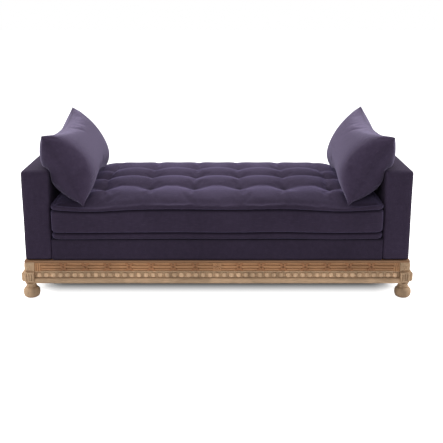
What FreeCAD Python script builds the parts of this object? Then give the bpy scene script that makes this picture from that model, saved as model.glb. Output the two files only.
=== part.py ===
"""Tufted daybed: a loose, blind-tufted mattress between two upholstered ends, on a carved plinth.

Millimetres, +Z up, floor at Z = 0, origin under the middle of the daybed. The long side runs along X
and the front faces -Y. Plinth pieces are drawn once, for a side that faces -Y with the face of the
corner posts at Y = 0, and are then turned to the front, right, back or left.
"""
import FreeCAD, Part
import math
import os

V = FreeCAD.Vector
ORIGIN = V(0, 0, 0)
AXIS_X = V(1, 0, 0)
AXIS_Y = V(0, 1, 0)
AXIS_Z = V(0, 0, 1)

# Plinth
BASE_LENGTH = 1960.0
BASE_DEPTH = 910.0
POST_SIDE = 48.0
RAIL_THICKNESS = 45.0
TORUS_HEIGHT = 27.0
TORUS_PROJECTION = 4.0
TORUS_SETBACK = 3.0
BEAD_BAND_HEIGHT = 34.0
LISTEL_HEIGHT = 4.0
LISTEL_SETBACK = 5.0
FRIEZE_HEIGHT = 48.0
TOP_FILLET_HEIGHT = 10.0
CARVING_RECESS = 12.0
CARVING_GAP = 0.5
TENON_WALL = 3.0
TENON_THICKNESS = 14.0
TENON_HEIGHT = 44.0
TENON_EDGE = 10.0
CORNER_BLOCK_SIDE = 95.0
CORNER_BLOCK_HEIGHT = 70.0

# Carving
REED_COUNT = 3
REED_PROJECTION = 11.0
REED_VALLEY = 4.0
ROSETTE_RADIUS = 21.0
ROSETTE_PROJECTION = 14.0
ROSETTE_RIM = 9.0
ROSETTE_TABLE = 9.0
ROSETTE_SIDES = 8
STOP_WIDTH = 32.0
STOP_PROJECTION = 10.0
STOP_FLUTES = 2
STOP_FLUTE_DEPTH = 4.0
BEAD_RADIUS = 14.0
BEAD_PROJECTION = 11.0
BEAD_PITCH = 36.4
BEAD_SIDES = 6
BEAD_TABLE = 7.5
BEAD_BACKING = 3.0
PANEL_MARGIN = 3.0
PANEL_PROJECTION = 4.0
PANEL_BEVEL = 5.0
BOSS_HEIGHT = 50.0
BOSS_RISE = 12.0
BOSS_PROJECTION = 19.0
BOSS_REEDS = 4
BOSS_REED_DEPTH = 5.0
BOSS_CHAMFER = 8.0

# Feet
FOOT_HEIGHT = 80.0
FOOT_RADIUS = 42.0
FOOT_NECK_RADIUS = 26.0
FOOT_NECK_HEIGHT = 20.0
GLIDE_RADIUS = 18.0
GLIDE_THICKNESS = 4.0
SPIGOT_RADIUS = 8.0
SPIGOT_LENGTH = 40.0

# Seat frame and deck
SETBACK = 5.0
BORDER_THICKNESS = 12.0
BORDER_CROWN = 3.0
SEAT_RAIL_HEIGHT = 79.0
CROSS_RAIL_COUNT = 2
CROSS_RAIL_WIDTH = 28.0
CROSS_RAIL_HEIGHT = 55.0
SEAT_BLOCK_SIDE = 70.0
SEAT_BLOCK_HEIGHT = 55.0
WEBBING_WIDTH = 60.0
WEBBING_THICKNESS = 2.0
WEBBING_ACROSS_COUNT = 12
WEBBING_ALONG_COUNT = 4
WEBBING_LAP = 4.0
DECK_PAD_THICKNESS = 31.5
DUST_COVER_THICKNESS = 0.8
DUST_COVER_LAP = 20.0
PLATE_WIDTH = 30.0
PLATE_HEIGHT = 84.0
PLATE_THICKNESS = 3.0
PLATES_PER_SIDE = 3

# Ends of the daybed
ARM_HEIGHT = 667.0
ARM_THICKNESS = 135.0
ARM_PADDING = 14.0
ARM_ROUNDING = 13.0
ARM_TOP_BEVEL = 8.0
ARM_POST_WIDTH = 60.0
ARM_TOP_BOARD = 25.0
ARM_BOTTOM_RAIL_HEIGHT = 40.0
ARM_TACK_RAIL_HEIGHT = 30.0
ARM_TACK_RAIL_RISE = 100.0
ARM_TENON_WIDTH = 24.0
ARM_TENON_HEIGHT = 45.0
ARM_TENON_RISE = 15.0
ARM_TENON_IN_POST = 40.0
ARM_TENON_EDGE = 4.0

# Mattress
MATTRESS_OVERHANG = 18.0
MATTRESS_THICKNESS = 180.0
MATTRESS_CORNER = 45.0
MATTRESS_SIDE_GAP = 2.0
ROLL_HEIGHT = 22.0
ROLL_STITCH_DEPTH = 8.0
BOXING_SHOULDER = 50.0
TUFT_ROWS = 3
TUFT_COLUMNS = 6
TUFT_ROW_PITCH = 200.0
TUFT_COLUMN_PITCH = 235.0
TUFT_RISE = 2.0
VALLEY_RISE = 32.0
CREST_RISE_MIDDLE = 59.0
CREST_RISE_EDGE = 46.0
CREST_DROP_AT_TUFTS = 17.0
END_CREST_RISE = 8.0
CAP_INSET = 20.0
CAP_LIP = 2.0
CAP_ROOT = 12.0
CORE_INSET = 70.0
CORE_RISE = 40.0
CORE_THICKNESS = 90.0
PUFF_STEPS = 4
END_PUFF_STEPS = 2
PUFF_CHORDS = 6

# Pillows
PILLOW_LENGTH = 805.0
PILLOW_HEIGHT = 402.0
PILLOW_FRONT_CROWN = 106.0
PILLOW_BACK_CROWN = 84.0
PILLOW_SHARPNESS = 0.58
PILLOW_DRAW_IN_LONG = 34.0
PILLOW_DRAW_IN_SHORT = 36.0
PILLOW_LEAN = 27.5
PILLOW_ROLL = -1.8
PILLOW_TURN = 1.5
PILLOW_FORWARD = 66.0
PILLOW_ARM_ROOM = 3.5
PILLOW_REST_ROOM = 6.0
PILLOW_APPROACH = 115.0
PILLOW_LAYERS = 6
PILLOW_LONG_CHORDS = 6
PILLOW_SHORT_CHORDS = 4
PILLOW_INSERT_INSET = 105.0
PILLOW_INSERT_THICKNESS = 60.0

# Clearances
SOFT_GAP = 0.3
SPIGOT_GAP = 0.2

# Worked out from the sizes above
LISTEL_BOTTOM = TORUS_HEIGHT + BEAD_BAND_HEIGHT
FRIEZE_BOTTOM = LISTEL_BOTTOM + LISTEL_HEIGHT
FRIEZE_TOP = FRIEZE_BOTTOM + FRIEZE_HEIGHT
RAIL_HEIGHT = FRIEZE_TOP + TOP_FILLET_HEIGHT
BASE_TOP = FOOT_HEIGHT + RAIL_HEIGHT
POST_X = BASE_LENGTH / 2 - POST_SIDE / 2
POST_Y = BASE_DEPTH / 2 - POST_SIDE / 2
TENON_LENGTH = POST_SIDE / 2 - SPIGOT_RADIUS - SPIGOT_GAP - TENON_WALL
RAIL_INNER_Y = BASE_DEPTH / 2 - RAIL_THICKNESS
RAIL_INNER_X = BASE_LENGTH / 2 - RAIL_THICKNESS

ARM_OUTER_X = BASE_LENGTH / 2 - SETBACK
ARM_INNER_X = ARM_OUTER_X - ARM_THICKNESS
ARM_FRONT_Y = BASE_DEPTH / 2 - SETBACK
SEAT_HALF_LENGTH = ARM_INNER_X - SOFT_GAP
SEAT_RAIL_OUTER_Y = ARM_FRONT_Y - BORDER_THICKNESS
SEAT_RAIL_THICKNESS = SEAT_RAIL_OUTER_Y - RAIL_INNER_Y
SEAT_RAIL_TOP = BASE_TOP + SEAT_RAIL_HEIGHT
DECK_BOTTOM = SEAT_RAIL_TOP + 2 * WEBBING_THICKNESS
DECK_TOP = DECK_BOTTOM + DECK_PAD_THICKNESS

MATTRESS_HALF_LENGTH = ARM_INNER_X - MATTRESS_SIDE_GAP
MATTRESS_HALF_DEPTH = ARM_FRONT_Y + MATTRESS_OVERHANG
MATTRESS_BOTTOM = DECK_TOP + SOFT_GAP
MATTRESS_TOP = MATTRESS_BOTTOM + MATTRESS_THICKNESS

SIDES = {"front": 0, "right": 90, "back": 180, "left": 270}
CORNERS = {"front_left": (-1, -1), "front_right": (1, -1), "back_left": (-1, 1), "back_right": (1, 1)}


def block(x0, x1, y0, y1, z0, z1):
    """A box between two corners."""
    return Part.makeBox(x1 - x0, y1 - y0, z1 - z0, V(x0, y0, z0))


def line(start, end):
    return Part.LineSegment(start, end).toShape()


def arc(start, middle, end):
    return Part.Arc(start, middle, end).toShape()


def along_arc(start, middle, end, count):
    """The ends of equal chords of an arc."""
    return arc(start, middle, end).discretize(Number=count + 1)


def chords(start, middle, end, count):
    """An arc drawn as a run of equal straight lines."""
    points = along_arc(start, middle, end, count)
    return [line(a, b) for a, b in zip(points, points[1:])]


def outline(*pieces):
    """A closed face: each piece is a list of points, two for a straight run and three for an arc."""
    edges = [line(*p) if len(p) == 2 else arc(*p) for p in pieces]
    return Part.Face(Part.Wire(edges))


def polygon(points):
    return Part.Face(Part.makePolygon(list(points) + [points[0]]))


def frustum(lower, upper):
    """A solid with flat sides between two rings of as many corners."""
    turns = range(len(lower))
    sides = [polygon([lower[i - 1], lower[i], upper[i], upper[i - 1]]) for i in turns]
    solid = Part.makeSolid(Part.makeShell([polygon(lower), polygon(upper)] + sides))
    if solid.Volume < 0:
        solid.reverse()
    return solid


def moved(shape, x=0.0, y=0.0, z=0.0):
    copy = shape.copy()
    copy.translate(V(x, y, z))
    return copy


def mirrored_x(shape):
    return shape.mirror(ORIGIN, AXIS_X)


def on_side(shape, side):
    """Turns a plinth piece drawn for the front to one of the four sides."""
    reach = BASE_DEPTH / 2 if side in ("front", "back") else BASE_LENGTH / 2
    placed = moved(shape, y=-reach, z=FOOT_HEIGHT)
    placed.rotate(ORIGIN, AXIS_Z, SIDES[side])
    return placed


def rail_length(side):
    whole = BASE_LENGTH if side in ("front", "back") else BASE_DEPTH
    return whole - 2 * POST_SIDE


def save(name, *solids):
    shape = solids[0] if len(solids) == 1 else Part.makeCompound(list(solids))
    shape.exportStep(f"parts/{name}.step")


def evenly(count, span):
    """Places of count things over a span centred on zero, half a step in from each end."""
    step = span / count
    return [(i + 0.5) * step - span / 2 for i in range(count)]


# Plinth


def rail(side):
    """Moulded rail with a stub tenon on each end, low on the long rails and high on the short ones.

    The tenons stop short of the bore for the foot.
    """
    length = rail_length(side)
    x = -length / 2

    def at(outward, height):
        return V(x, -outward, height)

    profile = outline(
        (at(-RAIL_THICKNESS, 0), at(-TORUS_SETBACK, 0)),
        (
            at(-TORUS_SETBACK, 0),
            at(TORUS_PROJECTION, TORUS_HEIGHT / 2),
            at(-TORUS_SETBACK, TORUS_HEIGHT),
        ),
        (at(-TORUS_SETBACK, TORUS_HEIGHT), at(-CARVING_RECESS, TORUS_HEIGHT)),
        (at(-CARVING_RECESS, TORUS_HEIGHT), at(-CARVING_RECESS, LISTEL_BOTTOM)),
        (at(-CARVING_RECESS, LISTEL_BOTTOM), at(-LISTEL_SETBACK, LISTEL_BOTTOM)),
        (at(-LISTEL_SETBACK, LISTEL_BOTTOM), at(-LISTEL_SETBACK, FRIEZE_BOTTOM)),
        (at(-LISTEL_SETBACK, FRIEZE_BOTTOM), at(-CARVING_RECESS, FRIEZE_BOTTOM)),
        (at(-CARVING_RECESS, FRIEZE_BOTTOM), at(-CARVING_RECESS, FRIEZE_TOP)),
        (at(-CARVING_RECESS, FRIEZE_TOP), at(0, FRIEZE_TOP)),
        (at(0, FRIEZE_TOP), at(0, RAIL_HEIGHT)),
        (at(0, RAIL_HEIGHT), at(-RAIL_THICKNESS, RAIL_HEIGHT)),
        (at(-RAIL_THICKNESS, RAIL_HEIGHT), at(-RAIL_THICKNESS, 0)),
    )
    body = profile.extrude(V(length, 0, 0))
    low = TENON_EDGE if side in ("front", "back") else RAIL_HEIGHT - TENON_EDGE - TENON_HEIGHT
    middle = (CARVING_RECESS + RAIL_THICKNESS) / 2
    tenons = block(
        -length / 2 - TENON_LENGTH, length / 2 + TENON_LENGTH,
        middle - TENON_THICKNESS / 2, middle + TENON_THICKNESS / 2,
        low, low + TENON_HEIGHT,
    )
    return body.fuse(tenons).removeSplitter()


def reed_bundle(length):
    """Half-round bundle of reeds, flat at the back."""
    low = FRIEZE_BOTTOM + CARVING_GAP
    high = FRIEZE_TOP - CARVING_GAP
    step = (high - low) / REED_COUNT
    half = (high - low) / 2

    def envelope(height, depth):
        """Distance in front of the carved ground on a shallow arch over the whole bundle."""
        share = (height - low - half) / half
        return max(0.0, (REED_PROJECTION - depth) * math.sqrt(max(0.0, 1 - share * share)))

    def at(height, depth):
        return V(-length / 2, CARVING_RECESS - envelope(height, depth), height)

    valleys = [low + i * step for i in range(REED_COUNT + 1)]
    reeds = [
        (at(a, REED_VALLEY), at((a + b) / 2, 0), at(b, REED_VALLEY))
        for a, b in zip(valleys, valleys[1:])
    ]
    back = (at(high, REED_VALLEY), at(low, REED_VALLEY))
    return outline(*reeds, back).extrude(V(length, 0, 0))


def ring(x, y, z, radius, sides):
    """Corners of an upright regular polygon that faces the front."""
    turns = [2 * math.pi * (i + 0.5) / sides for i in range(sides)]
    return [V(x + radius * math.cos(t), y, z + radius * math.sin(t)) for t in turns]


def rosette():
    """Eight-sided rosette with a bevelled rim in the middle of a frieze."""
    z = (FRIEZE_BOTTOM + FRIEZE_TOP) / 2
    back = ring(0, CARVING_RECESS, z, ROSETTE_RADIUS, ROSETTE_SIDES)
    rim = ring(0, CARVING_RECESS - ROSETTE_RIM, z, ROSETTE_RADIUS, ROSETTE_SIDES)
    table = ring(0, CARVING_RECESS - ROSETTE_PROJECTION, z, ROSETTE_TABLE, ROSETTE_SIDES)
    return frustum(back, rim).fuse(frustum(rim, table))


def end_stop(x):
    """Fluted block that ends a frieze beside a corner post."""
    low = FRIEZE_BOTTOM + CARVING_GAP
    high = FRIEZE_TOP - CARVING_GAP
    face = CARVING_RECESS - STOP_PROJECTION
    plan = [V(x + STOP_WIDTH / 2, CARVING_RECESS, low), V(x - STOP_WIDTH / 2, CARVING_RECESS, low)]
    plan.append(V(x - STOP_WIDTH / 2, face, low))
    for across in evenly(STOP_FLUTES, STOP_WIDTH):
        plan.append(V(x + across - STOP_FLUTE_DEPTH, face, low))
        plan.append(V(x + across, face + STOP_FLUTE_DEPTH, low))
        plan.append(V(x + across + STOP_FLUTE_DEPTH, face, low))
    plan.append(V(x + STOP_WIDTH / 2, face, low))
    return polygon(plan).extrude(V(0, 0, high - low))


def reed_frieze(side):
    """Reeds with a rosette in the middle and a fluted stop at each end."""
    length = rail_length(side) - 2 * CARVING_GAP
    stops = (length - STOP_WIDTH) / 2
    reeds = reed_bundle(length - 2 * STOP_WIDTH)
    return reeds.multiFuse([end_stop(-stops), end_stop(stops), rosette()]).removeSplitter()


def bead_strip(side):
    """Strip of faceted pearls on a flat backing."""
    length = rail_length(side) - 2 * CARVING_GAP
    centre_z = TORUS_HEIGHT + BEAD_BAND_HEIGHT / 2
    ground = CARVING_RECESS - BEAD_BACKING
    backing = block(
        -length / 2, length / 2, ground, CARVING_RECESS, centre_z - BEAD_RADIUS, centre_z + BEAD_RADIUS,
    )

    count = int((length - 2 * BEAD_RADIUS) // BEAD_PITCH) + 1
    beads = []
    for n in range(count):
        x = (n - (count - 1) / 2) * BEAD_PITCH
        table = ring(x, CARVING_RECESS - BEAD_PROJECTION, centre_z, BEAD_TABLE, BEAD_SIDES)
        beads.append(frustum(ring(x, ground, centre_z, BEAD_RADIUS, BEAD_SIDES), table))
    return backing.multiFuse(beads).removeSplitter()


def post_panel():
    """Raised square panel with bevelled edges on the face of a corner post, level with the frieze."""
    half = POST_SIDE / 2 - PANEL_MARGIN
    low = FRIEZE_BOTTOM + PANEL_MARGIN
    high = FRIEZE_TOP - PANEL_MARGIN

    def square(inset, outward):
        return [
            V(-half + inset, -outward, low + inset), V(half - inset, -outward, low + inset),
            V(half - inset, -outward, high - inset), V(-half + inset, -outward, high - inset),
        ]

    return frustum(square(0, 0), square(PANEL_BEVEL, PANEL_PROJECTION))


def corner_boss():
    """Boss with upright reeds that stands out of a corner post above the foot."""
    low = BOSS_RISE
    high = BOSS_RISE + BOSS_HEIGHT
    step = POST_SIDE / BOSS_REEDS
    valley = BOSS_REED_DEPTH - BOSS_PROJECTION
    plan = [V(POST_SIDE / 2, 0, low), V(-POST_SIDE / 2, 0, low)]
    for middle in evenly(BOSS_REEDS, POST_SIDE):
        plan.append(V(middle - step / 2, valley, low))
        plan.append(V(middle - step / 4, -BOSS_PROJECTION, low))
        plan.append(V(middle + step / 4, -BOSS_PROJECTION, low))
    plan.append(V(POST_SIDE / 2, valley, low))
    x = -POST_SIDE / 2
    shoulder = BOSS_CHAMFER - BOSS_PROJECTION
    section = polygon([
        V(x, 0, low), V(x, shoulder, low), V(x, -BOSS_PROJECTION, low + BOSS_CHAMFER),
        V(x, -BOSS_PROJECTION, high - BOSS_CHAMFER), V(x, shoulder, high), V(x, 0, high),
    ]).extrude(V(POST_SIDE, 0, 0))
    return polygon(plan).extrude(V(0, 0, BOSS_HEIGHT)).common(section)


def corner_sides(corner):
    """The two sides that meet at a corner, each with the corner's place along that side."""
    sx, sy = CORNERS[corner]
    front_back = "front" if sy < 0 else "back"
    left_right = "left" if sx < 0 else "right"
    along_front = sx * POST_X if front_back == "front" else -sx * POST_X
    along_end = sy * POST_Y if left_right == "right" else -sy * POST_Y
    return (front_back, along_front), (left_right, along_end)


def spigot_hole(corner):
    sx, sy = CORNERS[corner]
    depth = SPIGOT_LENGTH + SPIGOT_GAP
    return Part.makeCylinder(SPIGOT_RADIUS + SPIGOT_GAP, depth, V(sx * POST_X, sy * POST_Y, FOOT_HEIGHT))


def corner_post(corner, rails):
    """Square post, mortised by the tenons of its two rails and bored for the foot."""
    sx, sy = CORNERS[corner]
    post = block(
        sx * POST_X - POST_SIDE / 2, sx * POST_X + POST_SIDE / 2,
        sy * POST_Y - POST_SIDE / 2, sy * POST_Y + POST_SIDE / 2,
        FOOT_HEIGHT, BASE_TOP,
    )
    panels = [on_side(moved(post_panel(), x=along), side) for side, along in corner_sides(corner)]
    post = post.multiFuse(panels).removeSplitter()
    for side, _ in corner_sides(corner):
        post = post.cut(rails[side])
    return post.cut(spigot_hole(corner))


def corner_block(corner, inner_x, inner_y, side, low, height):
    """Three-cornered glue block in an inside corner of a frame."""
    sx, sy = CORNERS[corner]
    x = sx * inner_x
    y = sy * inner_y
    face = polygon([V(x, y, low), V(x - sx * side, y, low), V(x, y - sy * side, low)])
    return face.extrude(V(0, 0, height))


def bun_foot(corner):
    """Turned bun foot with a neck under the post and a spigot that is glued into the post."""
    sx, sy = CORNERS[corner]
    neck = FOOT_HEIGHT - FOOT_NECK_HEIGHT
    half = (neck - GLIDE_THICKNESS) / 2
    rim = math.sqrt(FOOT_RADIUS ** 2 - half ** 2)
    top = FOOT_HEIGHT + SPIGOT_LENGTH
    profile = outline(
        (V(0, 0, GLIDE_THICKNESS), V(rim, 0, GLIDE_THICKNESS)),
        (V(rim, 0, GLIDE_THICKNESS), V(FOOT_RADIUS, 0, GLIDE_THICKNESS + half), V(rim, 0, neck)),
        (V(rim, 0, neck), V(FOOT_NECK_RADIUS, 0, neck)),
        (V(FOOT_NECK_RADIUS, 0, neck), V(FOOT_NECK_RADIUS, 0, FOOT_HEIGHT)),
        (V(FOOT_NECK_RADIUS, 0, FOOT_HEIGHT), V(SPIGOT_RADIUS, 0, FOOT_HEIGHT)),
        (V(SPIGOT_RADIUS, 0, FOOT_HEIGHT), V(SPIGOT_RADIUS, 0, top)),
        (V(SPIGOT_RADIUS, 0, top), V(0, 0, top)),
        (V(0, 0, top), V(0, 0, GLIDE_THICKNESS)),
    )
    return moved(profile.revolve(ORIGIN, AXIS_Z, 360), x=sx * POST_X, y=sy * POST_Y)


def foot_glide(corner):
    sx, sy = CORNERS[corner]
    return Part.makeCylinder(GLIDE_RADIUS, GLIDE_THICKNESS, V(sx * POST_X, sy * POST_Y, 0))


def dust_cover():
    """Black cloth under the plinth, cut round clear of the necks of the feet."""
    x = RAIL_INNER_X + DUST_COVER_LAP
    y = RAIL_INNER_Y + DUST_COVER_LAP
    sheet = block(-x, x, -y, y, FOOT_HEIGHT - DUST_COVER_THICKNESS, FOOT_HEIGHT)
    for sx, sy in CORNERS.values():
        low = V(sx * POST_X, sy * POST_Y, 0)
        sheet = sheet.cut(Part.makeCylinder(FOOT_NECK_RADIUS + DUST_COVER_LAP, FOOT_HEIGHT, low))
    return sheet


def base_corner_block(corner):
    """Glue block in a corner of the plinth, let in round the post."""
    sx, sy = CORNERS[corner]
    whole = corner_block(
        corner, RAIL_INNER_X, RAIL_INNER_Y, CORNER_BLOCK_SIDE,
        BASE_TOP - CORNER_BLOCK_HEIGHT, CORNER_BLOCK_HEIGHT,
    )
    post = block(
        sx * POST_X - POST_SIDE / 2, sx * POST_X + POST_SIDE / 2,
        sy * POST_Y - POST_SIDE / 2, sy * POST_Y + POST_SIDE / 2,
        0, BASE_TOP,
    )
    return whole.cut(post)


def joining_plate(x, sy):
    """Flat steel plate over the joint of a base rail and the seat rail that stands on it."""
    inner = sy * RAIL_INNER_Y
    outer = inner - sy * PLATE_THICKNESS
    return block(
        x - PLATE_WIDTH / 2, x + PLATE_WIDTH / 2, min(inner, outer), max(inner, outer),
        BASE_TOP - PLATE_HEIGHT / 2, BASE_TOP + PLATE_HEIGHT / 2,
    )


def build_plinth():
    rails = {side: on_side(rail(side), side) for side in SIDES}
    for side in SIDES:
        save(f"{side}_base_rail", rails[side])
        save(f"{side}_reed_frieze", on_side(reed_frieze(side), side))
        save(f"{side}_bead_strip", on_side(bead_strip(side), side))
    for corner in CORNERS:
        save(f"corner_post_{corner}", corner_post(corner, rails))
    places = [place for corner in CORNERS for place in corner_sides(corner)]
    save("corner_bosses", *[on_side(moved(corner_boss(), x=along), side) for side, along in places])
    save("base_corner_blocks", *[base_corner_block(corner) for corner in CORNERS])
    save("bun_feet", *[bun_foot(corner) for corner in CORNERS])
    save("foot_glides", *[foot_glide(corner) for corner in CORNERS])
    save("dust_cover", dust_cover())
    plates = evenly(PLATES_PER_SIDE, 2 * SEAT_HALF_LENGTH)
    save("joining_plates", *[joining_plate(x, sy) for x in plates for sy in (-1, 1)])


# Seat frame


def seat_rail(sy):
    inner = sy * RAIL_INNER_Y
    outer = sy * SEAT_RAIL_OUTER_Y
    return block(
        -SEAT_HALF_LENGTH, SEAT_HALF_LENGTH, min(inner, outer), max(inner, outer),
        BASE_TOP, SEAT_RAIL_TOP,
    )


def seat_end_rail(sx):
    """Short rail of the seat frame, mortised for the loose tenons that hold the arm."""
    outer = sx * SEAT_HALF_LENGTH
    inner = outer - sx * SEAT_RAIL_THICKNESS
    whole = block(
        min(inner, outer), max(inner, outer), -RAIL_INNER_Y, RAIL_INNER_Y,
        BASE_TOP, SEAT_RAIL_TOP + WEBBING_THICKNESS,
    )
    return whole.cut(arm_tenons(sx))


def cross_rails():
    span = 2 * (SEAT_HALF_LENGTH - SEAT_RAIL_THICKNESS)
    places = [span * (i + 1) / (CROSS_RAIL_COUNT + 1) - span / 2 for i in range(CROSS_RAIL_COUNT)]
    half = CROSS_RAIL_WIDTH / 2
    return [
        block(x - half, x + half, -RAIL_INNER_Y, RAIL_INNER_Y, BASE_TOP, BASE_TOP + CROSS_RAIL_HEIGHT)
        for x in places
    ]


def webbing_across():
    half = WEBBING_WIDTH / 2
    reach = SEAT_RAIL_OUTER_Y - WEBBING_LAP
    top = SEAT_RAIL_TOP + WEBBING_THICKNESS
    span = 2 * (SEAT_HALF_LENGTH - SEAT_RAIL_THICKNESS - WEBBING_LAP)
    places = evenly(WEBBING_ACROSS_COUNT, span)
    return [block(x - half, x + half, -reach, reach, SEAT_RAIL_TOP, top) for x in places]


def webbing_along():
    half = WEBBING_WIDTH / 2
    reach = SEAT_HALF_LENGTH - WEBBING_LAP
    low = SEAT_RAIL_TOP + WEBBING_THICKNESS
    places = evenly(WEBBING_ALONG_COUNT, 2 * RAIL_INNER_Y)
    return [block(-reach, reach, y - half, y + half, low, DECK_BOTTOM) for y in places]


def border(sy):
    """Padded panel between the plinth and the mattress, a little fuller in the middle."""
    back = sy * SEAT_RAIL_OUTER_Y
    edge = sy * (ARM_FRONT_Y - BORDER_CROWN)
    crown = sy * ARM_FRONT_Y
    x = -SEAT_HALF_LENGTH
    profile = outline(
        (V(x, back, BASE_TOP), V(x, edge, BASE_TOP)),
        (V(x, edge, BASE_TOP), V(x, crown, (BASE_TOP + DECK_TOP) / 2), V(x, edge, DECK_TOP)),
        (V(x, edge, DECK_TOP), V(x, back, DECK_TOP)),
        (V(x, back, DECK_TOP), V(x, back, BASE_TOP)),
    )
    return profile.extrude(V(2 * SEAT_HALF_LENGTH, 0, 0))


def build_seat_frame():
    save("seat_rail_front", seat_rail(-1))
    save("seat_rail_back", seat_rail(1))
    save("seat_rail_left", seat_end_rail(-1))
    save("seat_rail_right", seat_end_rail(1))
    save("seat_cross_rails", *cross_rails())
    inner_x = SEAT_HALF_LENGTH - SEAT_RAIL_THICKNESS
    save("seat_corner_blocks", *[
        corner_block(corner, inner_x, RAIL_INNER_Y, SEAT_BLOCK_SIDE, BASE_TOP, SEAT_BLOCK_HEIGHT)
        for corner in CORNERS
    ])
    save("webbing_across", *webbing_across())
    save("webbing_along", *webbing_along())
    deck = block(
        -SEAT_HALF_LENGTH, SEAT_HALF_LENGTH, -SEAT_RAIL_OUTER_Y, SEAT_RAIL_OUTER_Y,
        DECK_BOTTOM, DECK_TOP,
    )
    save("deck_pad", deck)
    save("border_front", border(-1))
    save("border_back", border(1))


# Upholstered ends


def arm_tenons(sx):
    """Two loose tenons through the short seat rail and the padding into the posts of an arm."""
    start = SEAT_HALF_LENGTH - SEAT_RAIL_THICKNESS
    end = ARM_INNER_X + ARM_PADDING + ARM_TENON_IN_POST
    outer_y = RAIL_INNER_Y - ARM_TENON_EDGE
    low = BASE_TOP + ARM_TENON_RISE
    tenons = []
    for sy in (-1, 1):
        near, far = sorted((sy * outer_y, sy * (outer_y - ARM_TENON_WIDTH)))
        left, right = sorted((sx * start, sx * end))
        tenons.append(block(left, right, near, far, low, low + ARM_TENON_HEIGHT))
    return tenons


def arm_cover():
    """Padding and cloth over the right-hand arm frame: a deep cap, open underneath."""
    outer = block(ARM_INNER_X, ARM_OUTER_X, -ARM_FRONT_Y, ARM_FRONT_Y, BASE_TOP, ARM_HEIGHT)
    upright = [e for e in outer.Edges if e.BoundBox.ZLength > ARM_ROUNDING]
    outer = outer.makeFillet(ARM_ROUNDING, upright)
    top = [e for e in outer.Edges if e.BoundBox.ZMin > ARM_HEIGHT - ARM_ROUNDING]
    outer = outer.makeChamfer(ARM_TOP_BEVEL, top)
    inside = arm_cavity(BASE_TOP, ARM_HEIGHT - ARM_PADDING)
    return outer.cut(inside).cut(arm_tenons(1))


def arm_cavity(low, high, front=0.0, back=0.0):
    """Box across the inside of the right-hand arm cover, cut short at the front and the back."""
    y = ARM_FRONT_Y - ARM_PADDING
    return block(
        ARM_INNER_X + ARM_PADDING, ARM_OUTER_X - ARM_PADDING, -y + front, y - back, low, high,
    )


def arm_frame():
    """Hardwood frame of the right-hand arm: two posts, a top board, a bottom rail and a tack rail."""
    depth = 2 * (ARM_FRONT_Y - ARM_PADDING)
    top = ARM_HEIGHT - ARM_PADDING
    board = top - ARM_TOP_BOARD
    tack = BASE_TOP + ARM_TACK_RAIL_RISE
    between = {"front": ARM_POST_WIDTH, "back": ARM_POST_WIDTH}
    return {
        "front_post": arm_cavity(BASE_TOP, board, back=depth - ARM_POST_WIDTH).cut(arm_tenons(1)),
        "back_post": arm_cavity(BASE_TOP, board, front=depth - ARM_POST_WIDTH).cut(arm_tenons(1)),
        "top_board": arm_cavity(board, top),
        "rails": Part.makeCompound([
            arm_cavity(BASE_TOP, BASE_TOP + ARM_BOTTOM_RAIL_HEIGHT, **between),
            arm_cavity(tack, tack + ARM_TACK_RAIL_HEIGHT, **between),
        ]),
    }


def build_arms():
    cover = arm_cover()
    save("right_arm_cover", cover)
    save("left_arm_cover", mirrored_x(cover))
    for name, piece in arm_frame().items():
        save(f"right_arm_{name}", piece)
        save(f"left_arm_{name}", mirrored_x(piece))
    save("arm_tenons", *arm_tenons(-1), *arm_tenons(1))
    return cover


# Mattress


def mattress_border():
    """Boxing with a stitched roll round its top and bottom edges, filled solid."""
    low = MATTRESS_BOTTOM
    high = MATTRESS_TOP
    side = -ROLL_STITCH_DEPTH
    flat = ROLL_HEIGHT / 4
    section = [
        (-MATTRESS_CORNER, low), (-2 * flat, low), (0, low + flat), (0, low + 3 * flat),
        (side, low + 4 * flat), (0, low + BOXING_SHOULDER),
        (0, high - BOXING_SHOULDER), (side, high - 4 * flat),
        (0, high - 3 * flat), (0, high - flat), (-2 * flat, high), (-MATTRESS_CORNER, high),
    ]
    x = MATTRESS_HALF_LENGTH - MATTRESS_CORNER
    y = MATTRESS_HALF_DEPTH - MATTRESS_CORNER
    pieces = [block(-x, x, -y, y, low, high)]
    for sy in (-1, 1):
        face = polygon([V(-x, sy * (MATTRESS_HALF_DEPTH + out), z) for out, z in section])
        pieces.append(face.extrude(V(2 * x, 0, 0)))
    for sx in (-1, 1):
        face = polygon([V(sx * (MATTRESS_HALF_LENGTH + out), -y, z) for out, z in section])
        pieces.append(face.extrude(V(0, 2 * y, 0)))
    turned = polygon([V(MATTRESS_CORNER + out, 0, z) for out, z in section])
    quarter = turned.revolve(ORIGIN, AXIS_Z, 90)
    for turn, (sx, sy) in ((0, (1, 1)), (90, (-1, 1)), (180, (-1, -1)), (270, (1, -1))):
        corner = quarter.copy()
        corner.rotate(ORIGIN, AXIS_Z, turn)
        pieces.append(moved(corner, x=sx * x, y=sy * y))
    return pieces


def tuft_places(count, pitch):
    return [(i - (count - 1) / 2) * pitch for i in range(count)]


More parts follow.
